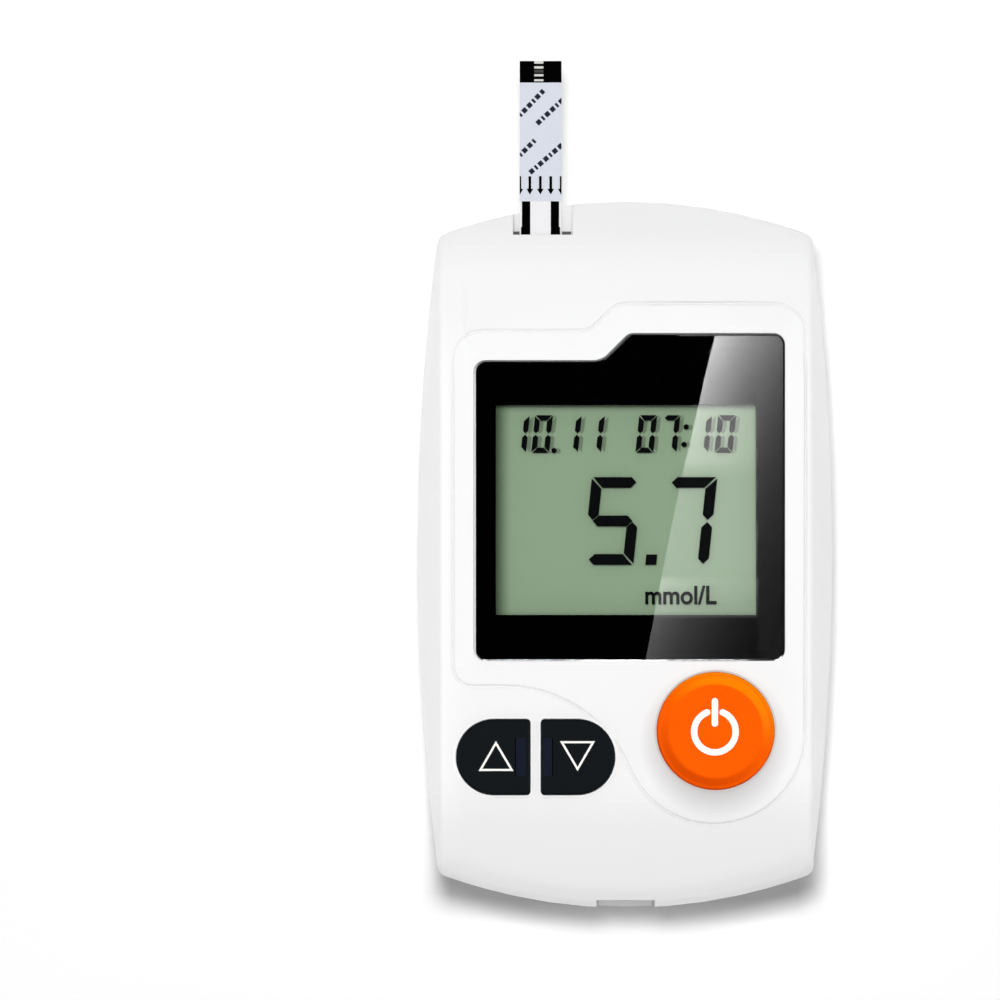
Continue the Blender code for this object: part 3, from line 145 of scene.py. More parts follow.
def buildMouldedSkin():
    # fine spark-eroded grain, slow colour drift and faint rub marks of moulded plastic
    group, given = newGroup(
        "mouldedSkin",
        ("Colour", "Drift Colour"),
        {"Grain Scale": 4000.0, "Drift": 0.3, "Roughness": 0.3, "Roughness Spread": 0.05},
    )
    vector = given["Vector"]
    slow = noiseIn(group, vector, scale=90.0, detail=3.0)
    share = productIn(group, slow, given["Drift"])
    colour = mixIn(group, share, given["Colour"], given["Drift Colour"])
    grain = noiseIn(group, vector, given["Grain Scale"], detail=3.0, roughness=0.6)
    wave = noiseIn(group, vector, scale=260.0)
    rubs = noiseIn(group, vector, scale=700.0, detail=4.0, roughness=0.7)
    swing = mathIn(group, "SUBTRACT", mathIn(group, "ADD", slow, rubs), 1.0)
    rough = mathIn(group, "MULTIPLY_ADD", swing, given["Roughness Spread"], given["Roughness"])
    height = mathIn(group, "MULTIPLY_ADD", wave, 0.5, grain)
    return closeGroup(group, colour, rough, height)


def buildBrushedMetal():
    # drawn or rolled metal: long fine lines along one axis, with dull blooms
    numbers = {"Line Scale": 3000.0, "Roughness": 0.3}
    group, given = newGroup("brushedMetal", ("Colour", "Dull Colour"), numbers)
    stretch = newNode(group, "Mapping", Vector=given["Vector"], Scale=(1.0, 0.04, 1.0))
    lines = noiseIn(group, stretch.outputs[0], given["Line Scale"], detail=3.0)
    bloom = noiseIn(group, given["Vector"], scale=350.0, detail=4.0, roughness=0.6)
    share = rangeIn(group, bloom, low=0.45, high=0.75, toLow=0.0, toHigh=0.8)
    colour = mixIn(group, share, given["Colour"], given["Dull Colour"])
    rough = mathIn(group, "MULTIPLY_ADD", bloom, 0.18, given["Roughness"])
    return closeGroup(group, colour, rough, lines)


def buildWovenLaminate():
    # glass cloth under solder mask: two crossed sets of threads, and copper runs
    group, given = newGroup("wovenLaminate", ("Mask Colour", "Copper Colour"), {})
    threads = []
    for direction in ("X", "Y"):
        wave = newNode(group, "TexWave", Vector=given["Vector"], Scale=900.0, Distortion=0.4)
        wave.bands_direction = direction
        threads.append(wave.outputs["Fac"])
    cloth = productIn(group, *threads)
    runs = newNode(group, "TexBrick", Vector=given["Vector"], Scale=170.0)
    runs.inputs["Mortar Size"].default_value = 0.06
    thread = productIn(group, cloth, 0.25)
    plain = mixIn(group, thread, given["Mask Colour"], (0.1, 0.2, 0.1, 1.0))
    copper = productIn(group, runs.outputs["Fac"], 0.55)
    colour = mixIn(group, copper, plain, given["Copper Colour"])
    rough = mathIn(group, "MULTIPLY_ADD", cloth, 0.12, 0.3)
    height = mathIn(group, "MULTIPLY_ADD", runs.outputs["Fac"], 1.5, cloth)
    return closeGroup(group, colour, rough, height)


def buildPrintedSheet():
    # paper or film: fibres under the print and a faint speckle
    numbers = {"Fibre Scale": 2500.0, "Roughness": 0.4}
    group, given = newGroup("printedSheet", ("Colour", "Fibre Colour"), numbers)
    fibres = noiseIn(group, given["Vector"], given["Fibre Scale"], detail=5.0, roughness=0.7)
    cloud = noiseIn(group, given["Vector"], scale=300.0)
    share = rangeIn(group, fibres, low=0.5, high=0.8, toLow=0.0, toHigh=0.5)
    colour = mixIn(group, share, given["Colour"], given["Fibre Colour"])
    rough = mathIn(group, "MULTIPLY_ADD", cloud, 0.1, given["Roughness"])
    return closeGroup(group, colour, rough, fibres)


builders = (buildMouldedSkin, buildBrushedMetal, buildWovenLaminate, buildPrintedSheet)
groups = {group.name: group for group in (build() for build in builders)}

print("meter: materials")


def startMaterial(key):
    # material named after its key: white_plastic makes whitePlastic
    first, *rest = key.split("_")
    material = bpy.data.materials.new(first + "".join(word.title() for word in rest))
    material.use_nodes = True
    tree = material.node_tree
    return material, tree, tree.nodes["Principled BSDF"]


def newMaterial(key, groupName, values, bump, bumpDepth, edge, sockets):
    # Principled finish fed by a shared group; edge is the radius of its softened edges
    material, tree, shader = startMaterial(key)
    place = newNode(tree, "TexCoord")
    detail = newNode(tree, "Group")
    detail.node_tree = groups[groupName]
    feedAll(tree, detail, values | {"Vector": place.outputs["Object"]})
    colour, roughness, height = detail.outputs
    relief = newNode(tree, "Bump", Strength=bump, Distance=bumpDepth, Height=height)
    if edge:
        softened = newNode(tree, "Bevel", Radius=edge)
        softened.samples = 4
        tree.links.new(softened.outputs["Normal"], relief.inputs["Normal"])
    feedAll(tree, shader, sockets | {"Base Color": colour, "Roughness": roughness})
    tree.links.new(relief.outputs["Normal"], shader.inputs["Normal"])
    return material


def moulded(key, colour, drift, roughness, edge, grain, level=None, index=None):
    values = {"Colour": paint(*colour), "Drift Colour": paint(*drift), "Roughness": roughness}
    sockets = {"Specular IOR Level": level, "IOR": index}
    return newMaterial(key, "mouldedSkin", values, grain, 0.02 * mm, edge * mm, sockets)


def brushed(key, colour, dull, roughness):
    values = {"Colour": paint(*colour), "Dull Colour": paint(*dull), "Roughness": roughness}
    return newMaterial(key, "brushedMetal", values, 0.2, 0.01 * mm, 0.04 * mm, {"Metallic": 1.0})


def printed(key, colour, fibre, roughness, level=None):
    values = {"Colour": paint(*colour), "Fibre Colour": paint(*fibre), "Roughness": roughness}
    sockets = {"Specular IOR Level": level}
    return newMaterial(key, "printedSheet", values, 0.1, 0.01 * mm, 0.0, sockets)


def clearPlastic(key, index, smear):
    # clear moulding with faint smears
    material, tree, shader = startMaterial(key)
    place = newNode(tree, "TexCoord")
    smears = noiseIn(tree, place.outputs["Object"], scale=220.0, detail=4.0)
    roughness = rangeIn(tree, smears, 0.0, 1.0, 0.0, smear)
    feedAll(tree, shader, {"Base Color": white, "IOR": index, "Roughness": roughness})
    shader.inputs["Transmission Weight"].default_value = 1.0
    # the lamps' rays and the light that comes back from behind pass straight through
    rays = newNode(tree, "LightPath").outputs
    passing = mathIn(tree, "MAXIMUM", rays["Is Shadow Ray"], rays["Is Diffuse Ray"])
    through = newNode(tree, "BsdfTransparent")
    either = newNode(tree, "MixShader")
    for socket, source in zip(either.inputs, (passing, shader.outputs[0], through.outputs[0])):
        tree.links.new(source, socket)
    tree.links.new(either.outputs[0], tree.nodes["Material Output"].inputs["Surface"])
    return material


# colour, drift colour, roughness, edge radius in mm, grain, gloss level, index
mouldedLooks = {
    "white_plastic": ((243, 243, 243), (238, 239, 239), 0.30, 0.10, 0.05),
    "door": ((253, 253, 253), (250, 250, 250), 0.30, 0.10, 0.05),
    "orange_plastic": ((255, 96, 0), (252, 88, 0), 0.42, 0.0, 0.06, 0.02),
    "navy_plastic": ((11, 16, 20), (9, 13, 17), 0.30, 0.0, 0.10, 0.06),
    "grey_plastic": ((150, 152, 155), (138, 140, 144), 0.45, 0.08, 0.15),
    "tray_plastic": ((232, 232, 228), (222, 222, 216), 0.5, 0.08, 0.15),
    "chip_resin": ((38, 38, 41), (52, 51, 52), 0.6, 0.05, 0.3),
    "rubber": ((205, 110, 120), (150, 70, 80), 0.7, 0.1, 0.3),
    "black_film": ((1, 1, 2), (1, 1, 1), 0.005, 0.0, 0.0, 1.0, 1.75),
    "display_glass": ((152, 176, 146), (148, 171, 141), 0.005, 0.0, 0.0, 1.0, 1.8),
    "ghostInk": ((120, 138, 115), (118, 136, 113), 0.005, 0.0, 0.0, 1.0, 1.8),
    "segmentInk": ((12, 13, 14), (10, 11, 12), 0.6, 0.0, 0.0, 0.0),
    "smallInk": ((12, 13, 14), (10, 11, 12), 0.005, 0.0, 0.0, 1.0, 1.57),
    "unitInk": ((12, 13, 14), (10, 11, 12), 0.005, 0.0, 0.0, 0.5, 1.5),
    "mouthDark": ((92, 92, 92), (84, 84, 84), 0.6, 0.0, 0.1),
    "rimWhite": ((254, 254, 254), (251, 251, 251), 0.3, 0.0, 0.03),
    "rimGrey": ((206, 203, 200), (201, 198, 195), 0.4, 0.0, 0.03),
    "keyTab": ((20, 25, 39), (17, 22, 35), 0.4, 0.0, 0.1, 0.05),
}
# colour, dull colour, roughness
brushedLooks = {
    "can_metal": ((205, 205, 208), (176, 177, 182), 0.22),
    "gold_plate": ((232, 190, 105), (205, 160, 84), 0.2),
    "spring_steel": ((180, 182, 186), (140, 142, 148), 0.28),
}
# colour, fibre colour, roughness, gloss level
printedLooks = {
    "strip_film": ((235, 234, 236), (228, 228, 230), 0.35),
    "label_paper": ((226, 228, 230), (212, 215, 218), 0.4),
    "signInk": ((255, 253, 249), (250, 249, 245), 0.5),
    "stripBlack": ((3, 3, 4), (8, 8, 9), 0.5, 0.0),
    "stripLabel": ((212, 216, 226), (206, 210, 222), 0.5),
    "stripSilver": ((214, 214, 208), (190, 190, 184), 0.4),
    "stripGrey": ((52, 52, 50), (44, 44, 43), 0.5),
    "stripMark": ((38, 42, 56), (50, 54, 68), 0.5, 0.0),
}
laminate = {"Mask Colour": paint(22, 92, 48), "Copper Colour": paint(46, 128, 70)}
looks = {
    "clear_plastic": clearPlastic("clear_plastic", index=1.1, smear=0.012),
    "board_laminate": newMaterial(
        "board_laminate", "wovenLaminate", laminate, 0.3, 0.03 * mm, 0.05 * mm, {}
    ),
}
for maker, rows in ((moulded, mouldedLooks), (brushed, brushedLooks), (printed, printedLooks)):
    for key, row in rows.items():
        looks[key] = maker(key, *row)


def skinOf(material):
    # the tree, its texture coordinates, and the colour socket with what now feeds it
    tree = material.node_tree
    place = next(node for node in tree.nodes if node.type == "TEX_COORD")
    skin = tree.nodes["Principled BSDF"].inputs["Base Color"]
    return tree, place, skin, skin.links[0].from_socket


def paintEdgeShade(material, limits, deep):
    # painted shade: deeper in tone towards the edges: (axis, edge, inner limit, share of the colour
    # left)
    tree, place, skin, colour = skinOf(material)
    parts = splitIn(tree, place.outputs["Object"])
    ramps = [
        rangeIn(tree, parts[axis], edge * mm, inner * mm, left, 1.0, "SMOOTHSTEP")
        for axis, edge, inner, left in limits
    ]
    tree.links.new(mixIn(tree, productIn(tree, *ramps), deep, colour), skin)


def paintShadowUnder(material, middle, near, far, left):
    # painted shadow: the skin greys towards a round key, more below it than above
    tree, place, skin, colour = skinOf(material)
    parts = splitIn(tree, place.outputs["Object"])
    squares = []
    for part, start in zip(parts, middle):
        away = mathIn(tree, "SUBTRACT", part, start * mm)
        squares.append(productIn(tree, away, away))
    reach = mathIn(tree, "SQRT", mathIn(tree, "ADD", *squares))
    share = rangeIn(tree, reach, near * mm, far * mm, left, 1.0)
    tree.links.new(mixIn(tree, share, black, colour), skin)


# painted shadow of the window's edges on the display, deepest on the left and top
displayEdgeShade = (
    ("X", -16.6, -14.1, 0.08), ("X", 16.4, 16.0, 0.8),
    ("Y", 18.8, 17.7, 0.55), ("Y", -7.7, -6.9, 0.75),
)
paintEdgeShade(looks["display_glass"], displayEdgeShade, paint(58, 72, 56))
# painted shade: both ends of the casing a little greyer than its middle, where the light falls off
paintEdgeShade(looks["white_plastic"], (("Y", -35, -27, 0.925), ("Y", 42, 34, 0.92)), black)
# painted shadow under the power key
paintShadowUnder(looks["white_plastic"], middle=(11.2, -23.4), near=6.2, far=9.6, left=0.66)


def makeSmoothing():
    # shades a carried-over node smooth except across its sharp edges
    group = bpy.data.node_groups.new("smoothAcrossFacets", "GeometryNodeTree")
    for way in ("INPUT", "OUTPUT"):
        group.interface.new_socket("Geometry", in_out=way, socket_type="NodeSocketGeometry")
    into, out, merge, plain, faces, edges, angle, gentle = (group.nodes.new(kind) for kind in (
        "NodeGroupInput", "NodeGroupOutput",
        "GeometryNodeMergeByDistance", "GeometryNodeRemoveAttribute",
        "GeometryNodeSetShadeSmooth", "GeometryNodeSetShadeSmooth",
        "GeometryNodeInputMeshEdgeAngle", "FunctionNodeCompare",
    ))
    merge.inputs["Distance"].default_value = 0.001 * mm
    plain.inputs["Name"].default_value = "custom_normal"
    faces.domain = "FACE"
    edges.domain = "EDGE"
    gentle.data_type = "FLOAT"
    gentle.operation = "LESS_THAN"
    gentle.inputs[1].default_value = math.radians(32)
    group.links.new(angle.outputs[0], gentle.inputs[0])
    group.links.new(gentle.outputs[0], edges.inputs["Shade Smooth"])
    source = into.outputs[0]
    for node in (merge, plain, faces, edges):
        group.links.new(source, node.inputs["Geometry"])
        source = node.outputs["Geometry"]
    group.links.new(source, out.inputs[0])
    return group


def weigh(thing):
    weighed = thing.modifiers.new("weighed", "WEIGHTED_NORMAL")
    weighed.keep_sharp = True


smoothing = makeSmoothing()
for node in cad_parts.values():
    slotName = node.data.materials[0].name.split(".")[0]
    node.data.materials[0] = looks[slotName]
    smooth = node.modifiers.new("smoothing", "NODES")
    smooth.node_group = smoothing
    weigh(node)
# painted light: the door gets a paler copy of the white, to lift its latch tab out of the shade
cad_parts["battery_cover"].data.materials[0] = looks["door"]  # its latch tab lies in the shade

print("meter: shape helpers")


def arcPoints(centre, radius, start, end, steps):
    turns = [math.radians(start + (end - start) * i / steps) for i in range(steps + 1)]
    return [(centre[0] + radius * math.cos(t), centre[1] + radius * math.sin(t)) for t in turns]


def filletPoints(before, corner, after, radius, steps=8):
    before, corner, after = Vector(before), Vector(corner), Vector(after)
    inward, onward = (before - corner).normalized(), (after - corner).normalized()
    half = inward.angle(onward) / 2
    centre = corner + (inward + onward).normalized() * radius / math.sin(half)
    reach = radius / math.tan(half)
    start, end = corner + inward * reach - centre, corner + onward * reach - centre
    spokes = [start.slerp(end, i / steps).normalized() for i in range(steps + 1)]
    return [tuple(centre + spoke * radius) for spoke in spokes]


def roundedOutline(corners, steps=8):
    outline = []
    for i, (x, y, radius) in enumerate(corners):
        before = corners[i - 1][:2]
        after = corners[(i + 1) % len(corners)][:2]
        outline += filletPoints(before, (x, y), after, radius, steps)
    return outline


def rectangle(x0, y0, x1, y1):
    return [(x0, y0), (x1, y0), (x1, y1), (x0, y1)]


def roundedBox(x0, y0, x1, y1, radius, steps):
    return roundedOutline([(x, y, radius) for x, y in rectangle(x0, y0, x1, y1)], steps)


def moved(outline, dx, dy):
    return [(x + dx, y + dy) for x, y in outline]


def inMm(outline):
    return [(x * mm, y * mm) for x, y in outline]


def newObject(name, data):
    thing = bpy.data.objects.new(name, data)
    bpy.context.scene.collection.objects.link(thing)
    return thing


def finishMesh(bm, name, look, body, sharp=40):
    # turns the build into a piece, shaded smooth except across its sharp edges
    bmesh.ops.recalc_face_normals(bm, faces=bm.faces)
    for edge in bm.edges:
        edge.smooth = edge.calc_face_angle(0) < math.radians(sharp)
    for face in bm.faces:
        face.smooth = True
    mesh = bpy.data.meshes.new(name)
    bm.to_mesh(mesh)
    bm.free()
    piece = newObject(name, mesh)
    mesh.materials.append(looks[look])
    weigh(piece)
    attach(piece, body)
    return piece


def addRow(bm, outline, z):
    return [bm.verts.new((x, y, z)) for x, y in outline]


def addWall(bm, low, high):
    # quads between two closed rows of corners
    for i in range(len(low)):
        bm.faces.new((low[i - 1], low[i], high[i], high[i - 1]))


def addSkin(bm, rings):
    # open skin through (outline, height) rings
    rows = [addRow(bm, outline, z) for outline, z in rings]
    for low, high in zip(rows, rows[1:]):
        addWall(bm, low, high)
    return rows


def addTube(bm, rings):
    # skin whose last ring is joined to the first
    rows = addSkin(bm, rings)
    addWall(bm, rows[-1], rows[0])


def addLoft(bm, rings):
    # closed solid through rings, lowest first
    rows = addSkin(bm, rings)
    bm.faces.new(rows[0][::-1])
    bm.faces.new(rows[-1])


def insetOutline(outline, inset):
    # moves each point of a closed anticlockwise outline inwards
    placed = []
    for i, point in enumerate(outline):
        here = Vector(point)
        inward = here - Vector(outline[i - 1])
        onward = Vector(outline[(i + 1) % len(outline)]) - here
        along = (inward.normalized() + onward.normalized()).normalized()
        side = Vector((-along.y, along.x))
        turn = inward.angle(onward, 0.0) / 2
        placed.append(tuple(here + side * inset / max(math.cos(turn), 0.3)))
    return placed


def addPlate(bm, outline, low, high, soften=0.0):
    # flat plate with an optional softened upper edge
    rings = [(outline, low), (outline, high - soften)]
    if soften:
        rings.append((insetOutline(outline, 0.3 * soften), high - 0.3 * soften))
        rings.append((insetOutline(outline, soften), high))
    addLoft(bm, rings)


def plates(name, outlines, low, high, look, body, soften=0.0):
    # one piece made of flat plates that share their heights
    bm = bmesh.new()
    for outline in outlines:
        addPlate(bm, outline, low, high, soften)
    return finishMesh(bm, name, look, body)


def addLathe(bm, profile, centre, steps=128):
    # closed solid of turning, from a profile that starts and ends on the axis
    last = 360 - 360 / steps
    rings = [(arcPoints(centre, radius, 0, last, steps - 1), z) for radius, z in profile[1:-1]]
    rows = addSkin(bm, rings)
    for row, z, way in ((rows[0], profile[0][1], -1), (rows[-1], profile[-1][1], 1)):
        tip = bm.verts.new((centre[0], centre[1], z))
        for i in range(steps):
            bm.faces.new((row[i - 1], row[i], tip)[::way])


print("meter: window and display")
window = {
    "left": -18.78 * mm, "right": 19.86 * mm,
    "bottom": -13.22 * mm, "top": 27.6 * mm,
    "stepDrop": 3.4 * mm, "stepX": -3.0 * mm,
    "cornerRadius": 1.3 * mm,
    "stepRadius": 2.6 * mm,
    "chamfer": 0.18 * mm,
}
border = {
    "reach": 16.28 * mm, "bottom": -7.5 * mm, "top": 18.75 * mm,
    "skirtWall": 0.35 * mm, "skirtLow": 15.5 * mm,
}


def windowOutline(grow=0.0):
    left, right = window["left"] - grow, window["right"] + grow
    bottom, top = window["bottom"] - grow, window["top"] + grow
    stepX = window["stepX"] - grow * math.tan(math.pi / 8)
    low = top - window["stepDrop"]
    radius = window["cornerRadius"] + grow
    return roundedOutline([
        (left, bottom, radius), (right, bottom, radius), (right, top, radius),
        (stepX + window["stepDrop"], top, radius),
        (stepX, low, window["stepRadius"] - grow), (left, low, radius),
    ])


def buildWindow():
    low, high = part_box("display_lens")
    chamfer = window["chamfer"]
    whole, inner = windowOutline(), windowOutline(-chamfer)
    rings = [(inner, low.z), (whole, low.z + chamfer), (whole, high.z - chamfer), (inner, high.z)]
    bm = bmesh.new()
    addLoft(bm, rings)
    lens = finishMesh(bm, "windowLens", "clear_plastic", "meter", 30)
    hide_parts("display_lens")


def buildBorder():
    # printed border with the foam skirt that seals it to the display
    low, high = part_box("lens_gasket")
    x, y0, y1 = border["reach"], border["bottom"], border["top"]
    wall, foot = border["skirtWall"], border["skirtLow"]
    opening = rectangle(-x, y0, x, y1)
    skirt = rectangle(-x - wall, y0 - wall, x + wall, y1 + wall)
    bm = bmesh.new()
    outerLow, outerHigh = addSkin(bm, [(windowOutline(), z) for z in (low.z, high.z)])
    inside = [(opening, high.z), (opening, foot), (skirt, foot), (skirt, low.z)]
    innerHigh, *_, innerLow = addSkin(bm, inside)
    for loops in ((outerHigh, innerHigh), (outerLow, innerLow)):
        edges = [bm.edges.get((loop[i - 1], loop[i])) for loop in loops for i in range(len(loop))]
        bmesh.ops.triangle_fill(bm, use_beauty=True, edges=edges)
    piece = finishMesh(bm, "windowBorder", "black_film", "meter", 30)
    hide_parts("lens_gasket")


buildWindow()
buildBorder()

# ends of each lit segment: m is mitred, p is pointed, f is a free point
smallNought = {"a": "mm", "b": "mp", "c": "pm", "d": "mm", "e": "pm", "f": "mp"}
smallOne = {"b": "mp", "c": "pm"}
smallSeven = {"a": "fm", "b": "mp", "c": "pm"}
largeFive = {"a": "mf", "f": "mp", "g": "pp", "c": "pm", "d": "fm"}
largeSeven = {"a": "fm", "b": "mp", "c": "pp"}
display = {
    "ledge": 2.4 * mm,
    "backThickness": 1.0 * mm,
    "cornerRadius": 0.2 * mm,
    "gap": 0.02 * mm,
    "slope": math.tan(math.radians(6.0)),
    # painted shadow of the date: its shift and how far it stands proud
    "ghostShift": (0.5 * mm, -0.06 * mm),
    "ghostProud": 0.012 * mm,
    "reflectorTop": 14.75 * mm,
    "segmentBottom": 15.35 * mm, "segmentTop": 15.45 * mm,
    # width, height, stroke, gap and base of the two sizes of digits
    "small": (2.24 * mm, 4.71 * mm, 0.66 * mm, 0.085 * mm, 12.79 * mm),
    "large": (6.35 * mm, 11.0 * mm, 1.36 * mm, 0.12 * mm, -1.25 * mm),
    "fiveX": -5.4 * mm, "sevenX": 3.98 * mm,
    "point": (2.44, -1.25, 1.38, 1.31),
    "date": (
        (smallOne, (-14.75, -8.24, -5.34, 8.1)), (smallNought, (-11.85, 1.2, 11.1)),
        (smallSeven, (4.1,)),
    ),
    "dots": ((-8.98, 13.07, 0.34), (7.56, 16.03, 0.34), (7.30, 13.83, 0.34)),
    "unit": (2.44 * mm, -6.22 * mm, 8.94 * mm, 2.38 * mm),
}


def segmentOutline(name, ends, size):
    # outline of one segment of an upright digit with its lower left corner at 0, 0
    width, height, stroke, gap, _ = size
    middle = height / 2
    length = width if name in "adg" else middle
    points = []
    for side, end in enumerate(ends):
        if end == "m":
            shape = [(gap * 1.4, 0.0), (stroke + gap, stroke)]
        else:
            inset = stroke / 2 if end == "f" or name == "g" else gap
            shape = [(inset + stroke / 2, 0.0), (inset, stroke / 2), (inset + stroke / 2, stroke)]
        if side:
            shape = [(length - u, v) for u, v in reversed(shape)]
        points.append(shape)
    # start's inner corner, out along the outer edge, then back inside
    placed = []
    for u, v in points[0][::-1] + points[1][::-1]:
        placed.append({
            "a": (u, height - v),
            "d": (u, v),
            "g": (u, middle + stroke / 2 - v),
            "f": (v, height - u),
            "b": (width - v, height - u),
            "e": (v, middle - u),
            "c": (width - v, middle - u),
        }[name])
    return placed


def digit(shapes, x, size):
    slope, base = display["slope"], size[-1]
    outlines = [segmentOutline(name, ends, size) for name, ends in shapes.items()]
    return [[(x + u + v * slope, base + v) for u, v in outline] for outline in outlines]


def smallDigits(dx=0.0, dy=0.0):
    outlines = []
    for shapes, places in display["date"]:
        for x in places:
            outlines += digit(shapes, x * mm, display["small"])
    for x, y, radius in display["dots"]:
        outlines.append(arcPoints((x * mm, y * mm), radius * mm, 0, 345, 23))
    return [moved(outline, dx, dy) for outline in outlines]


def buildDisplay():
    low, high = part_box("lcd_glass")
    split, top, gap = low.z + display["backThickness"], display["reflectorTop"], display["gap"]
    back, front = (
        roundedBox(low.x, y, high.x, high.y, display["cornerRadius"], 2)
        for y in (low.y, low.y + display["ledge"])
    )
    bm = bmesh.new()
    addPlate(bm, back, low.z, split, 0.05 * mm)
    addPlate(bm, front, split, top, 0.03 * mm)
    reflector = finishMesh(bm, "displayReflector", "display_glass", "meter")
    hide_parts("lcd_glass")
    inkLow, inkHigh = display["segmentBottom"], display["segmentTop"]
    width, height = display["point"][2:]
    point = [(x + y * display["slope"], y) for x, y in inMm(rectangle(0, 0, width, height))]
    large = digit(largeFive, display["fiveX"], display["large"])
    large += digit(largeSeven, display["sevenX"], display["large"])
    large.append(moved(point, display["point"][0] * mm, display["point"][1] * mm))
    digitShadows = smallDigits(*display["ghostShift"])
    for name, outlines, z0, z1, look, soften in (
        ("displayGlass", [front], top + gap, inkLow - gap, "clear_plastic", 0.05 * mm),
        ("displayDate", smallDigits(), inkLow, inkHigh, "smallInk", 0.0),
        ("displaySegments", large, inkLow, inkHigh, "segmentInk", 0.0),
        # painted shadow: a dark copy of the date, laid on the reflector where its shadow falls
        ("displayGhosts", digitShadows, top - gap, top + display["ghostProud"], "ghostInk", 0.0),
    ):
        plates(name, outlines, z0, z1, look, "meter", soften)


def buildUnit():
    # unit of the reading, from the built-in sans
    left, base, width, height = display["unit"]
    text = bpy.data.curves.new("unitText", "FONT")
    text.body = "mmol/L"
    text.size = 1.0
    text.offset = 0.022
    holder = newObject("unitText", text)
    bpy.context.view_layer.update()
    graph = bpy.context.evaluated_depsgraph_get()
    mesh = bpy.data.meshes.new_from_object(holder.evaluated_get(graph))
    bpy.data.objects.remove(holder)
    bm = bmesh.new()
    bm.from_mesh(mesh)
    bmesh.ops.remove_doubles(bm, verts=bm.verts, dist=1e-5)
    for axis, start, size in ((0, left, width), (1, base, height)):
        values = [v.co[axis] for v in bm.verts]
        least, most = min(values), max(values)
        for v in bm.verts:
            v.co[axis] = start + (v.co[axis] - least) / (most - least) * size
            v.co.z = display["segmentBottom"]
    raised = bmesh.ops.extrude_face_region(bm, geom=list(bm.faces))
    for item in raised["geom"]:
        if isinstance(item, bmesh.types.BMVert):
            item.co.z = display["segmentTop"]
    finishMesh(bm, "displayUnit", "unitInk", "meter")


buildDisplay()
buildUnit()

print("meter: power button")
# guiding stem and flange that every key has under the casing
stem = {"radius": 1.6 * mm, "flangeLow": 14.75 * mm, "flangeHigh": 15.55 * mm}
power = {
    "x": 11.2 * mm, "y": -22.0 * mm,
    "radius": 7.36 * mm, "faceRadius": 5.8 * mm,
    "faceTop": 19.2 * mm, "dish": 0.25 * mm, "rimDrop": 0.7 * mm,
    "shoulder": (0.42 * mm, 0.45 * mm),
    "lip": (0.2 * mm, 0.08 * mm),
    "brow": (0.25 * mm, 0.015 * mm),
    "signX": 11.09 * mm, "signY": -22.05 * mm,
    "signRadius": 2.59 * mm, "signStroke": 0.81 * mm,
    "signGap": 22.0,
    "bar": (1.005 * mm, 3.795 * mm),
    "signProud": 0.03 * mm,
    "signDepth": 0.2 * mm,
    # painted light and shade on the bevel: the way it faces, and its colours
    "warmWay": (0.45, 0.89, 0.0),
    "paintedLightFrom": (0.05, 0.45), "paintedLightColour": paint(255, 132, 2),
    "paintedShadeFrom": (-0.05, -0.5), "paintedShadeColour": paint(228, 78, 0),
}


def faceAt(reach):
    # height of the dished face at this distance from its middle
    return power["faceTop"] - power["dish"] * (1 - (reach / power["faceRadius"]) ** 2)


def powerProfile():
    # stem, flange, skirt, bevel and dished face
    low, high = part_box("power_button")
    flange = (high.x - low.x) / 2
    outer, edge, top = power["radius"], power["faceRadius"], power["faceTop"]
    wide, tall = power["shoulder"]
    rim = top - power["rimDrop"]
    profile = [(0.0, low.z)]
    profile += [(stem["radius"], z) for z in (low.z, stem["flangeLow"])]
    profile += [(flange, z) for z in (stem["flangeLow"], stem["flangeHigh"])]
    profile += [(outer, z) for z in (stem["flangeHigh"], rim - tall)]
    # soft shoulder between the skirt and the bevel
    for i in range(1, 7):
        turn = math.radians(15 * i)
        profile.append((outer - wide * (1 - math.cos(turn)), rim - tall + tall * math.sin(turn)))
    start = Vector((outer - wide, rim))
    end = Vector((edge + power["lip"][0], top - power["lip"][1]))
    profile += [tuple(start.lerp(end, share)) for share in (0.25, 0.5, 0.75)]
    face = edge - power["brow"][0]
    profile += [tuple(end), (edge, top), (face, top - power["brow"][1])]
    return profile + [(face * share, faceAt(face * share)) for share in (0.8, 0.6, 0.4, 0.2, 0.0)]


def addStroke(bm, path):
    # stroke of the power sign with round ends, along a path over the dished face
    points = [Vector(p) for p in path]
    half, count = power["signStroke"] / 2, len(points)
    left, right = [], []
    for i, point in enumerate(points):
        ahead = points[min(i + 1, count - 1)] - points[max(i - 1, 0)]
        side = Vector((-ahead.y, ahead.x)).normalized() * half
        left.append(tuple(point + side))
        right.append(tuple(point - side))
    caps = []
    for point, start in ((points[0], left[0]), (points[-1], right[-1])):
        turn = math.degrees(math.atan2(start[1] - point.y, start[0] - point.x))
        caps.append(arcPoints(point, half, turn, turn + 180, 12)[1:-1])
    outline = left[::-1] + caps[0] + right + caps[1]
    heights = [faceAt(math.hypot(x - power["x"], y - power["y"])) for x, y in outline]
    low, high = (
        [bm.verts.new((x, y, z + lift)) for (x, y), z in zip(outline, heights)]
        for lift in (-power["signDepth"], power["signProud"])
    )
    addWall(bm, low, high)
    # quads along the stroke keep it on the dish, and one face closes each round end
    first = count + len(caps[0])
    last = first + count
    cells = [(count - 1 - i, first + i, first + i + 1, count - 2 - i) for i in range(count - 1)]
    cells.append(range(count - 1, first + 1))
    cells.append([*range(last - 1, len(outline)), 0])
    for cell in cells:
        bm.faces.new([high[k] for k in cell])
        bm.faces.new([low[k] for k in reversed(cell)])


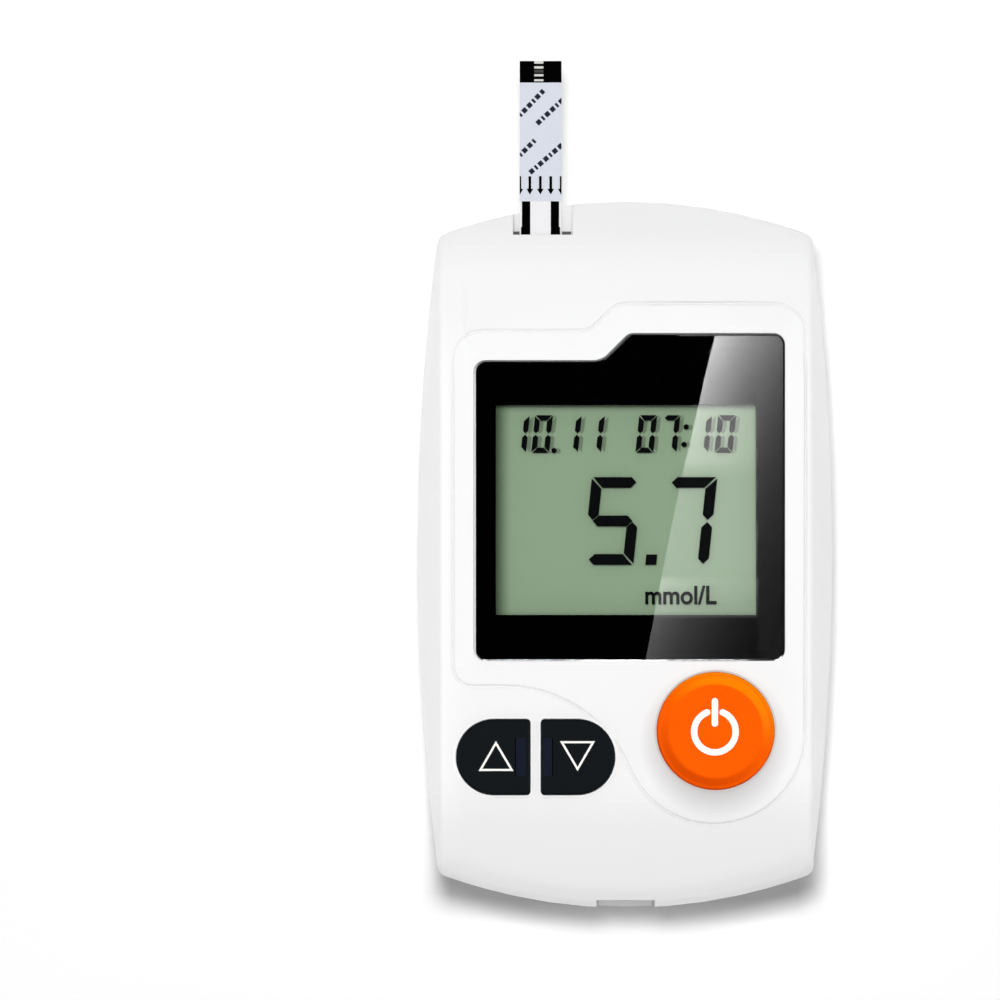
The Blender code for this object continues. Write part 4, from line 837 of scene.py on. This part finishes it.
def paintBevelLight(material):
    # painted light and shade: the orange skin is palest on the upper right bevel and deepest on the
    # lower one, as if lit from the upper right
    tree, place, skin, colour = skinOf(material)
    lean = vectorIn(tree, "DOT_PRODUCT", place.outputs["Normal"], power["warmWay"])
    paintedLightShare = rangeIn(tree, lean, *power["paintedLightFrom"], 0.0, 1.0)
    deep = rangeIn(tree, lean, *power["paintedShadeFrom"], 0.0, 1.0)
    paintedLit = mixIn(tree, paintedLightShare, colour, power["paintedLightColour"])
    tree.links.new(mixIn(tree, deep, paintedLit, power["paintedShadeColour"]), skin)


def buildPower():
    bm = bmesh.new()
    addLathe(bm, powerProfile(), (power["x"], power["y"]))
    paintBevelLight(looks["orange_plastic"])
    key = finishMesh(bm, "powerKey", "orange_plastic", "power_key", 50)
    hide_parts("power_button")
    x, y, gap = power["signX"], power["signY"], power["signGap"]
    low, high = power["bar"]
    bm = bmesh.new()
    addStroke(bm, arcPoints((x, y), power["signRadius"], 90 + gap, 450 - gap, 72))
    addStroke(bm, [(x, y + low + (high - low) * i / 6) for i in range(7)])
    finishMesh(bm, "powerSign", "signInk", "power_key")


buildPower()

print("meter: arrow keys")
arrows = {
    "length": 9.3 * mm, "height": 9.5 * mm,
    "cornerRadius": 0.5 * mm, "flangeRadius": 0.4 * mm,
    "top": 18.6 * mm,
    "edge": 0.35 * mm,
    "upMiddle": (-16.6 * mm, -25.25 * mm),
    "downMiddle": (-6.0 * mm, -25.25 * mm),
    "upSign": ((-16.26, -23.23), (-18.43, -26.98), (-14.05, -26.98)),
    "downSign": ((-8.26, -23.25), (-6.06, -27.0), (-3.88, -23.25)),
    "signStroke": 0.265 * mm,
    "signProud": 0.02 * mm,
    "upTab": (-13.75, -27.63, -12.5, -22.88),
    "downTab": (-10.3, -27.63, -9.25, -22.88),
    "tabRadius": 0.1 * mm, "tabProud": 0.03 * mm, "tabSoften": 0.02 * mm,
    "tabLine": 0.12 * mm, "tabShadowProud": 0.01 * mm,
    "rooted": 0.05 * mm, "clearance": 0.03 * mm,
    "rimWidth": 0.28 * mm, "rimProud": 0.03 * mm,
    "rimDepth": 0.3 * mm, "rimFace": 17.99 * mm,
}


def keyOutline(side, grow=0.0):
    height, length = arrows["height"] / 2, arrows["length"] / 2
    radius, inner, centre = height + grow, length + grow, height - length
    corner = max(arrows["cornerRadius"] + grow, 0.1 * mm)
    outline = arcPoints((centre, 0), radius, 90, 270, 40)
    outline += filletPoints((centre, -radius), (inner, -radius), (inner, 0), corner, 6)
    outline += filletPoints((inner, 0), (inner, radius), (centre, radius), corner, 6)
    return [(-side * x, -side * y) for x, y in outline]


def buildArrow(label, side):
    node, body = f"{label}_button", f"{label}_key"
    low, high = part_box(node)
    middle = arrows[f"{label}Middle"]
    top, edge, root = arrows["top"], arrows["edge"], arrows["top"] - arrows["rooted"]
    rings = [(0.0, stem["flangeHigh"]), (0.0, top - edge)]
    for turn in (22.5, 45, 67.5, 90):
        t = math.radians(turn)
        rings.append((-edge * (1 - math.cos(t)), top - edge + edge * math.sin(t)))
    bm = bmesh.new()
    addLoft(bm, [(moved(keyOutline(side, grow), *middle), z) for grow, z in rings])
    flange = roundedBox(low.x, low.y, high.x, high.y, arrows["flangeRadius"], 4)
    addPlate(bm, flange, stem["flangeLow"], stem["flangeHigh"])
    radius, flat = stem["radius"], stem["flangeLow"]
    shaft = [(0, low.z), (radius, low.z), (radius, flat), (0, flat)]
    addLathe(bm, shaft, middle, 48)
    key = finishMesh(bm, f"{label}Key", "navy_plastic", body)
    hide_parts(node)
    # the triangle is a mitred outline
    bm = bmesh.new()
    outer, proud = inMm(arrows[f"{label}Sign"]), top + arrows["signProud"]
    inner = insetOutline(outer, arrows["signStroke"])
    addTube(bm, [(outer, root), (outer, proud), (inner, proud), (inner, root)])
    finishMesh(bm, f"{label}Sign", "signInk", body)
    left, bottom, right, upper = (value * mm for value in arrows[f"{label}Tab"])
    tab = roundedBox(left, bottom, right, upper, arrows["tabRadius"], 3)
    x0 = left if side < 0 else right
    x0, x1 = sorted((x0, x0 + side * arrows["tabLine"]))
    line = rectangle(x0, bottom, x1, upper)
    # the tab is a paler navy as painted light on its face, and the dark line at its far edge is a
    # painted shadow
    for name, outline, proud, look, soften in (
        (f"{label}Tab", tab, arrows["tabProud"], "keyTab", arrows["tabSoften"]),
        (f"{label}TabLine", line, arrows["tabShadowProud"], "stripBlack", 0.0),
    ):
        plates(name, [outline], root, top + proud, look, body, soften)


def addRim(bm, outlineAt):
    # closed bead that follows outlineAt(grow) round a hole
    face, inner, width = arrows["rimFace"], arrows["clearance"], arrows["rimWidth"]
    foot, proud = face - arrows["rimDepth"], face + arrows["rimProud"]
    section = [
        (inner, foot), (inner, face + 0.3 * arrows["rimProud"]),
        (inner + 0.25 * width, proud), (inner + 0.75 * width, proud),
        (inner + width, face), (inner + width, foot),
    ]
    addTube(bm, [(outlineAt(grow), z) for grow, z in section])


def buildRims():
    # bead round each arrow key's hole, paler than the casing as a painted highlight, and a grey one
    # round the power key's as painted shade
    bm = bmesh.new()
    for label, side in (("up", -1), ("down", 1)):
        middle = arrows[f"{label}Middle"]
        addRim(bm, lambda grow: moved(keyOutline(side, grow), *middle))
    finishMesh(bm, "keyRims", "rimWhite", "meter", 70)
    bm = bmesh.new()
    centre = (power["x"], power["y"])
    addRim(bm, lambda grow: arcPoints(centre, power["radius"] + grow, 0, 357, 119))
    finishMesh(bm, "powerRimShade", "rimGrey", "meter", 70)


buildArrow("up", -1)
buildArrow("down", 1)
buildRims()

print("meter: test strip")
strip = {
    "corners": (0.3 * mm, 0.3 * mm, 0.1 * mm, 0.1 * mm),
    "soften": 0.03 * mm,
    "mouths": ((-14.05, -13.3), (-7.94, -6.83)),
    "mouthEnds": (40.1, 40.6),
    "mouthHalf": 0.05 * mm,
    "tipLow": 59.29,
    "barXs": (-11.45, -10.3),
    # four silver bars, then the dark one
    "barYs": ((61.66, 62.0), (61.05, 61.33), (60.07, 60.34), (59.46, 59.7), (60.55, 60.9)),
    "labelLow": 44.38,
    # inner and outer edge, and the step of the outer edge in the port
    "traces": ((-11.95, -13.0, -0.12), (-9.38, -8.33, 0.12)),
    "traceYs": (40.2, 41.2, 41.1, 34.5),
    "arrowXs": (-13.25, -12.0, -10.69, -9.375, -8.07),
    "arrowYs": (45.23, 45.95, 47.53),
    "arrowShaft": 0.17, "arrowHead": 0.42,
    # slanted rows of plain dashes in place of the print
    "markLines": (
        (-13.9, 54.5, -10.28, 58.3), (-11.1, 54.1, -7.6, 57.4),
        (-13.9, 49.5, -11.33, 52.1), (-12.0, 47.95, -7.6, 51.8),
    ),
    "markWidth": 0.62, "markLengths": (0.62, 0.3, 0.62), "markGap": 0.28,
    "film": 0.02 * mm,
}


def clipAcross(points, left, right):
    # keeps the part of an outline between two x values
    for limit, keep in ((left, 1), (right, -1)):
        kept = []
        for i, (x1, y1) in enumerate(points):
            x0, y0 = points[i - 1]
            inside0, inside1 = keep * (x0 - limit) >= 0, keep * (x1 - limit) >= 0
            if inside0 != inside1:
                share = (limit - x0) / (x1 - x0)
                kept.append((limit, y0 + (y1 - y0) * share))
            if inside1:
                kept.append((x1, y1))
        points = kept
    return points


def dashes(x0, y0, x1, y1):
    # plain dashes of changing length along one slanted line
    start, end = Vector((x0, y0)), Vector((x1, y1))
    along = (end - start).normalized()
    across = Vector((-along.y, along.x)) * strip["markWidth"] / 2
    lengths = strip["markLengths"]
    found, place, count = [], 0.0, 0
    while place < (end - start).length:
        length = lengths[count % len(lengths)]
        a, b = start + along * place, start + along * min(place + length, (end - start).length)
        found.append([tuple(p) for p in (a - across, b - across, b + across, a + across)])
        place += length + strip["markGap"]
        count += 1
    return found


def buildStrip():
    low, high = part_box("test_strip")
    film = strip["film"]
    face = high.z - 2 * film
    corners = zip(rectangle(low.x, low.y, high.x, high.y), strip["corners"])
    base = roundedOutline([(x, y, radius) for (x, y), radius in corners], 4)
    slot = "strip_film"
    core = plates("stripCore", [base], low.z, face, slot, "strip", strip["soften"])
    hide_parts("test_strip")

    def layer(name, outlines, thickness, look):
        printed = [inMm(outline) for outline in outlines]
        plates(name, printed, face - film / 2, face + thickness * film, look, "strip")

    left, right, end = low.x / mm, high.x / mm, high.y / mm
    tipLow, labelLow = strip["tipLow"], strip["labelLow"]
    barLeft, barRight = strip["barXs"]
    bars = [rectangle(barLeft, y0, barRight, y1) for y0, y1 in strip["barYs"]]
    layer("stripLabel", [rectangle(left, labelLow, right, tipLow)], 1.0, "stripLabel")
    layer("stripTip", [rectangle(left, tipLow, right, end)], 1.0, "stripBlack")
    layer("stripTipBars", bars[:-1], 1.5, "stripSilver")
    layer("stripTipDark", bars[-1:], 1.4, "stripGrey")
    # painted shadow: dark plates stand for the shade in the port's mouth on either side of the
    # strip
    y0, y1 = strip["mouthEnds"]
    mouths = [inMm(rectangle(x0, y0, x1, y1)) for x0, x1 in strip["mouths"]]
    bottom, top = low.z - strip["mouthHalf"], low.z + strip["mouthHalf"]
    plates("portMouth", mouths, bottom, top, "mouthDark", "meter")

    traces = []
    ends, shoulder, notch, foot = strip["traceYs"]
    for inner, outer, away in strip["traces"]:
        wide = outer + away
        traces.append([
            (inner, ends), (inner, labelLow), (outer, labelLow), (outer, shoulder),
            (wide, notch), (wide, foot), (inner, foot),
        ])
    point, neck, tail = strip["arrowYs"]
    shaft, head = strip["arrowShaft"], strip["arrowHead"]
    half = [(0, point), (head, neck), (shaft, neck), (shaft, tail)]
    whole = half + [(-x, y) for x, y in half[:0:-1]]
    pointers = [clipAcross(moved(whole, x, 0), left, right) for x in strip["arrowXs"]]
    marks = [clipAcross(dash, left, right) for line in strip["markLines"] for dash in dashes(*line)]
    marks = [mark for mark in marks if len(mark) > 2]
    layer("stripTraces", traces, 1.0, "stripBlack")
    layer("stripPointers", pointers, 1.5, "stripBlack")
    layer("stripMarks", marks, 1.5, "stripMark")


buildStrip()

print("meter: studio")
studio = {
    "middle": (-15.75 * mm, 6.875 * mm),
    "fieldWidth": 125 * mm, "distance": 1.2, "faceHeight": 18 * mm,
    "keyPlace": (-0.03, 0.115, 0.72), "keySize": 0.13, "keyPower": 3.2,
    # sine of the height above the horizon, and the tone there
    "skyTones": (
        (0.0, 1.0), (0.05, 1.0), (0.14, 0.6), (0.35, 0.46), (0.85, 0.42), (0.93, 0.45), (0.985, 0.0)
    ),
    "floorReach": 8.0, "floorDrop": 0.02 * mm, "floorTone": 0.96, "paintedShadowTone": 0.56,
    "glowRange": (0.10, 0.45, 0.05, 1.0),
    "bow": 2.2,
    "lowerEdge": 44.3 * mm,
    "shadeReach": 3.2 * mm,
    "shadeSides": (22 * mm, 26.1 * mm),
    "shadeEnd": (-36 * mm, -25 * mm),
    "boxTilt": 40.0, "boxDistance": 0.65, "boxSize": (0.16, 1.0), "boxStrength": 3.0,
}


def aim(item, place, target=(0.0, 0.0, 0.01)):
    item.location = place
    item.rotation_euler = (Vector(target) - Vector(place)).to_track_quat("-Z", "Y").to_euler()


def newSheet(name, verts, faces, material):
    mesh = bpy.data.meshes.new(name)
    mesh.from_pydata(verts, [], faces)
    mesh.materials.append(material)
    return newObject(name, mesh)


def flatSheet(x, y):
    return [(u, v, 0) for u, v in rectangle(-x, -y, x, y)], [(0, 1, 2, 3)]


def buildStudio():
    scene = bpy.context.scene
    world = bpy.data.worlds.new("studioWorld")
    scene.world = world
    world.use_nodes = True
    tree = world.node_tree
    background = tree.nodes["Background"]
    place = newNode(tree, "TexCoord")
    ramp = newNode(tree, "ValToRGB", Fac=splitIn(tree, place.outputs["Generated"])["Z"])
    stops = studio["skyTones"]
    while len(ramp.color_ramp.elements) < len(stops):
        ramp.color_ramp.elements.new(0.5)
    for element, (height, tone) in zip(ramp.color_ramp.elements, stops):
        element.position = height
        element.color = (tone, tone, tone, 1.0)
    tree.links.new(ramp.outputs["Color"], background.inputs["Color"])

    lamp = bpy.data.lights.new("keyLamp", "AREA")
    lamp.size = studio["keySize"]
    lamp.energy = studio["keyPower"]
    keyLamp = newObject("keyLamp", lamp)
    aim(keyLamp, studio["keyPlace"])
    keyLamp.visible_glossy = False

    camera = bpy.data.cameras.new("studioCamera")
    camera.sensor_width = 36.0
    camera.lens = camera.sensor_width * studio["distance"] / studio["fieldWidth"]
    camera.clip_start = 0.01
    camera.clip_end = 60.0
    scene.camera = newObject("studioCamera", camera)
    scene.camera.location = (*studio["middle"], studio["faceHeight"] + studio["distance"])
    scene.view_settings.view_transform = "Standard"


def buildFloor():
    # pale paper that fades to white further out
    sheet, tree, shader = startMaterial("studioPaper")
    pale, deep = ((tone, tone, tone, 1.0) for tone in (studio["floorTone"], studio["paintedShadowTone"]))
    position = newNode(tree, "NewGeometry").outputs["Position"]
    glow = rangeIn(tree, vectorIn(tree, "LENGTH", position), *studio["glowRange"])
    # painted contact shadow: the floor is deepest in tone right under the lower edge of the casing
    x, y = splitIn(tree, position)[:2]
    bow = productIn(tree, x, x, studio["bow"])
    away = mathIn(tree, "SUBTRACT", mathIn(tree, "SUBTRACT", bow, studio["lowerEdge"]), y)
    near = rangeIn(tree, away, 0.0, studio["shadeReach"], 1.0, 0.0)
    beside = rangeIn(tree, mathIn(tree, "ABSOLUTE", x), *studio["shadeSides"], 1.0, 0.0)
    below = rangeIn(tree, y, *studio["shadeEnd"], 1.0, 0.0)
    colour = mixIn(tree, productIn(tree, near, beside, below), pale, deep)
    feedAll(tree, shader, {"Base Color": colour, "Roughness": 0.9, "Specular IOR Level": 0.0})
    feedAll(tree, shader, {"Emission Color": white, "Emission Strength": glow})
    reach = studio["floorReach"]
    floor = newSheet("studioFloor", *flatSheet(reach, reach), sheet)
    floor.location.z = -studio["floorDrop"]


def newLight(name):
    # material that only shines, and the socket of its strength
    material, tree, shader = startMaterial(name)
    tree.nodes.remove(shader)
    emission = newNode(tree, "Emission")
    tree.links.new(emission.outputs[0], tree.nodes["Material Output"].inputs["Surface"])
    return material, tree, emission.inputs["Strength"]


def showOnlyTo(card, rays):
    for kind in ("camera", "diffuse", "glossy", "transmission", "shadow"):
        setattr(card, f"visible_{kind}", kind == rays)


def buildSoftboxes():
    # two long softboxes beside the camera, seen only as highlights
    tilt, distance = math.radians(studio["boxTilt"]), studio["boxDistance"]
    width, length = studio["boxSize"]
    for label, side in (("left", -1), ("right", 1)):
        light, _, strength = newLight(f"{label}StripLight")
        strength.default_value = studio["boxStrength"]
        card = newSheet(f"{label}Strip", *flatSheet(width / 2, length / 2), light)
        aim(card, (side * distance * math.sin(tilt), 0.0, distance * math.cos(tilt)))
        showOnlyTo(card, "glossy")


glare = {
    "height": 0.24, "mirrorDrop": 1.5 * mm, "mirrorShare": 0.163,
    "columns": 60, "rows": 160,
    # down and across the 1000 x 1000 picture: the slanted edge, and the ends of the card
    "edge": (
        (333, 715.6), (380, 704), (436, 692), (477, 682), (535, 670), (615, 654.5), (660, 645.5)
    ),
    "span": (330, 664), "right": 787, "crowding": 1.5,
    "origin": (626, 555), "pixel": mm / 8,
    "tone": 0.78, "fadeAcross": 42.0, "fadeDown": 147.0,
    # the display under it: its ends and right edge, and the calmer tone over the large digits
    "display": (404, 616, 757), "displayTone": 0.127,
    "digitsFrom": (448, 480), "digitsTo": (574, 584), "leastShare": 0.3,
    "inwardFade": 0.25, "lowFade": 0.55, "lowRows": (560, 615),
    "cornerFade": 0.7, "cornerRows": (450, 480), "cornerWidth": 40,
}


def ease(value, start, end):
    share = min(max((value - start) / (end - start), 0.0), 1.0)
    return share * share * (3.0 - 2.0 * share)


def glareAt(px, py, start):
    # tone of the reflection at a place in the picture
    across = math.exp((start - px) / glare["fadeAcross"])
    tone = glare["tone"] * across * math.exp((glare["edge"][0][0] - py) / glare["fadeDown"])
    top, bottom, right = glare["display"]
    if top < py < bottom and px < right:
        calm = max(ease(py, *glare["digitsFrom"]), glare["leastShare"])
        calm *= 1.0 - ease(py, *glare["digitsTo"])
        flat = 1.0 - glare["inwardFade"] * (px - start) / (right - start)
        flat *= 1.0 - glare["lowFade"] * ease(py, *glare["lowRows"])
        corner = 1.0 - ease(px, start, start + glare["cornerWidth"])
        flat *= 1.0 - glare["cornerFade"] * (1.0 - ease(py, *glare["cornerRows"])) * corner
        tone = tone * (1.0 - calm) + glare["displayTone"] * flat
    return tone / glare["mirrorShare"]


def buildGlare():
    # light with a slanted edge, mirrored under the window: a card seen through it
    factor = (glare["height"] + 2 * glare["mirrorDrop"]) / studio["distance"]
    centre = Vector(studio["middle"])
    columns, rows = glare["columns"], glare["rows"]
    top, bottom = glare["span"]
    verts, glow = [], []
    for j in range(rows + 1):
        py = top + (bottom - top) * j / rows
        for (y0, x0), (y1, x1) in zip(glare["edge"], glare["edge"][1:]):
            start = x0 + (x1 - x0) * (py - y0) / (y1 - y0)
            if py <= y1:
                break
        for i in range(columns + 1):
            px = start + (glare["right"] - start) * (i / columns) ** glare["crowding"]
            away = Vector((px - glare["origin"][0], glare["origin"][1] - py))
            point = away * glare["pixel"]
            there = point + (point - centre) * factor
            verts.append((there.x, there.y, studio["faceHeight"] + glare["height"]))
            glow.append(glareAt(px, py, start))
    wide = columns + 1
    corners = [j * wide + i for j in range(rows) for i in range(columns)]
    faces = [(a, a + wide, a + wide + 1, a + 1) for a in corners]
    light, tree, strength = newLight("windowGlareLight")
    attribute = newNode(tree, "Attribute")
    attribute.attribute_name = "glow"
    tree.links.new(attribute.outputs["Fac"], strength)
    card = newSheet("windowGlare", verts, faces, light)
    tones = card.data.attributes.new("glow", "FLOAT", "POINT")
    tones.data.foreach_set("value", glow)
    showOnlyTo(card, "transmission")


buildStudio()
buildFloor()
buildSoftboxes()
buildGlare()

print("meter: done")
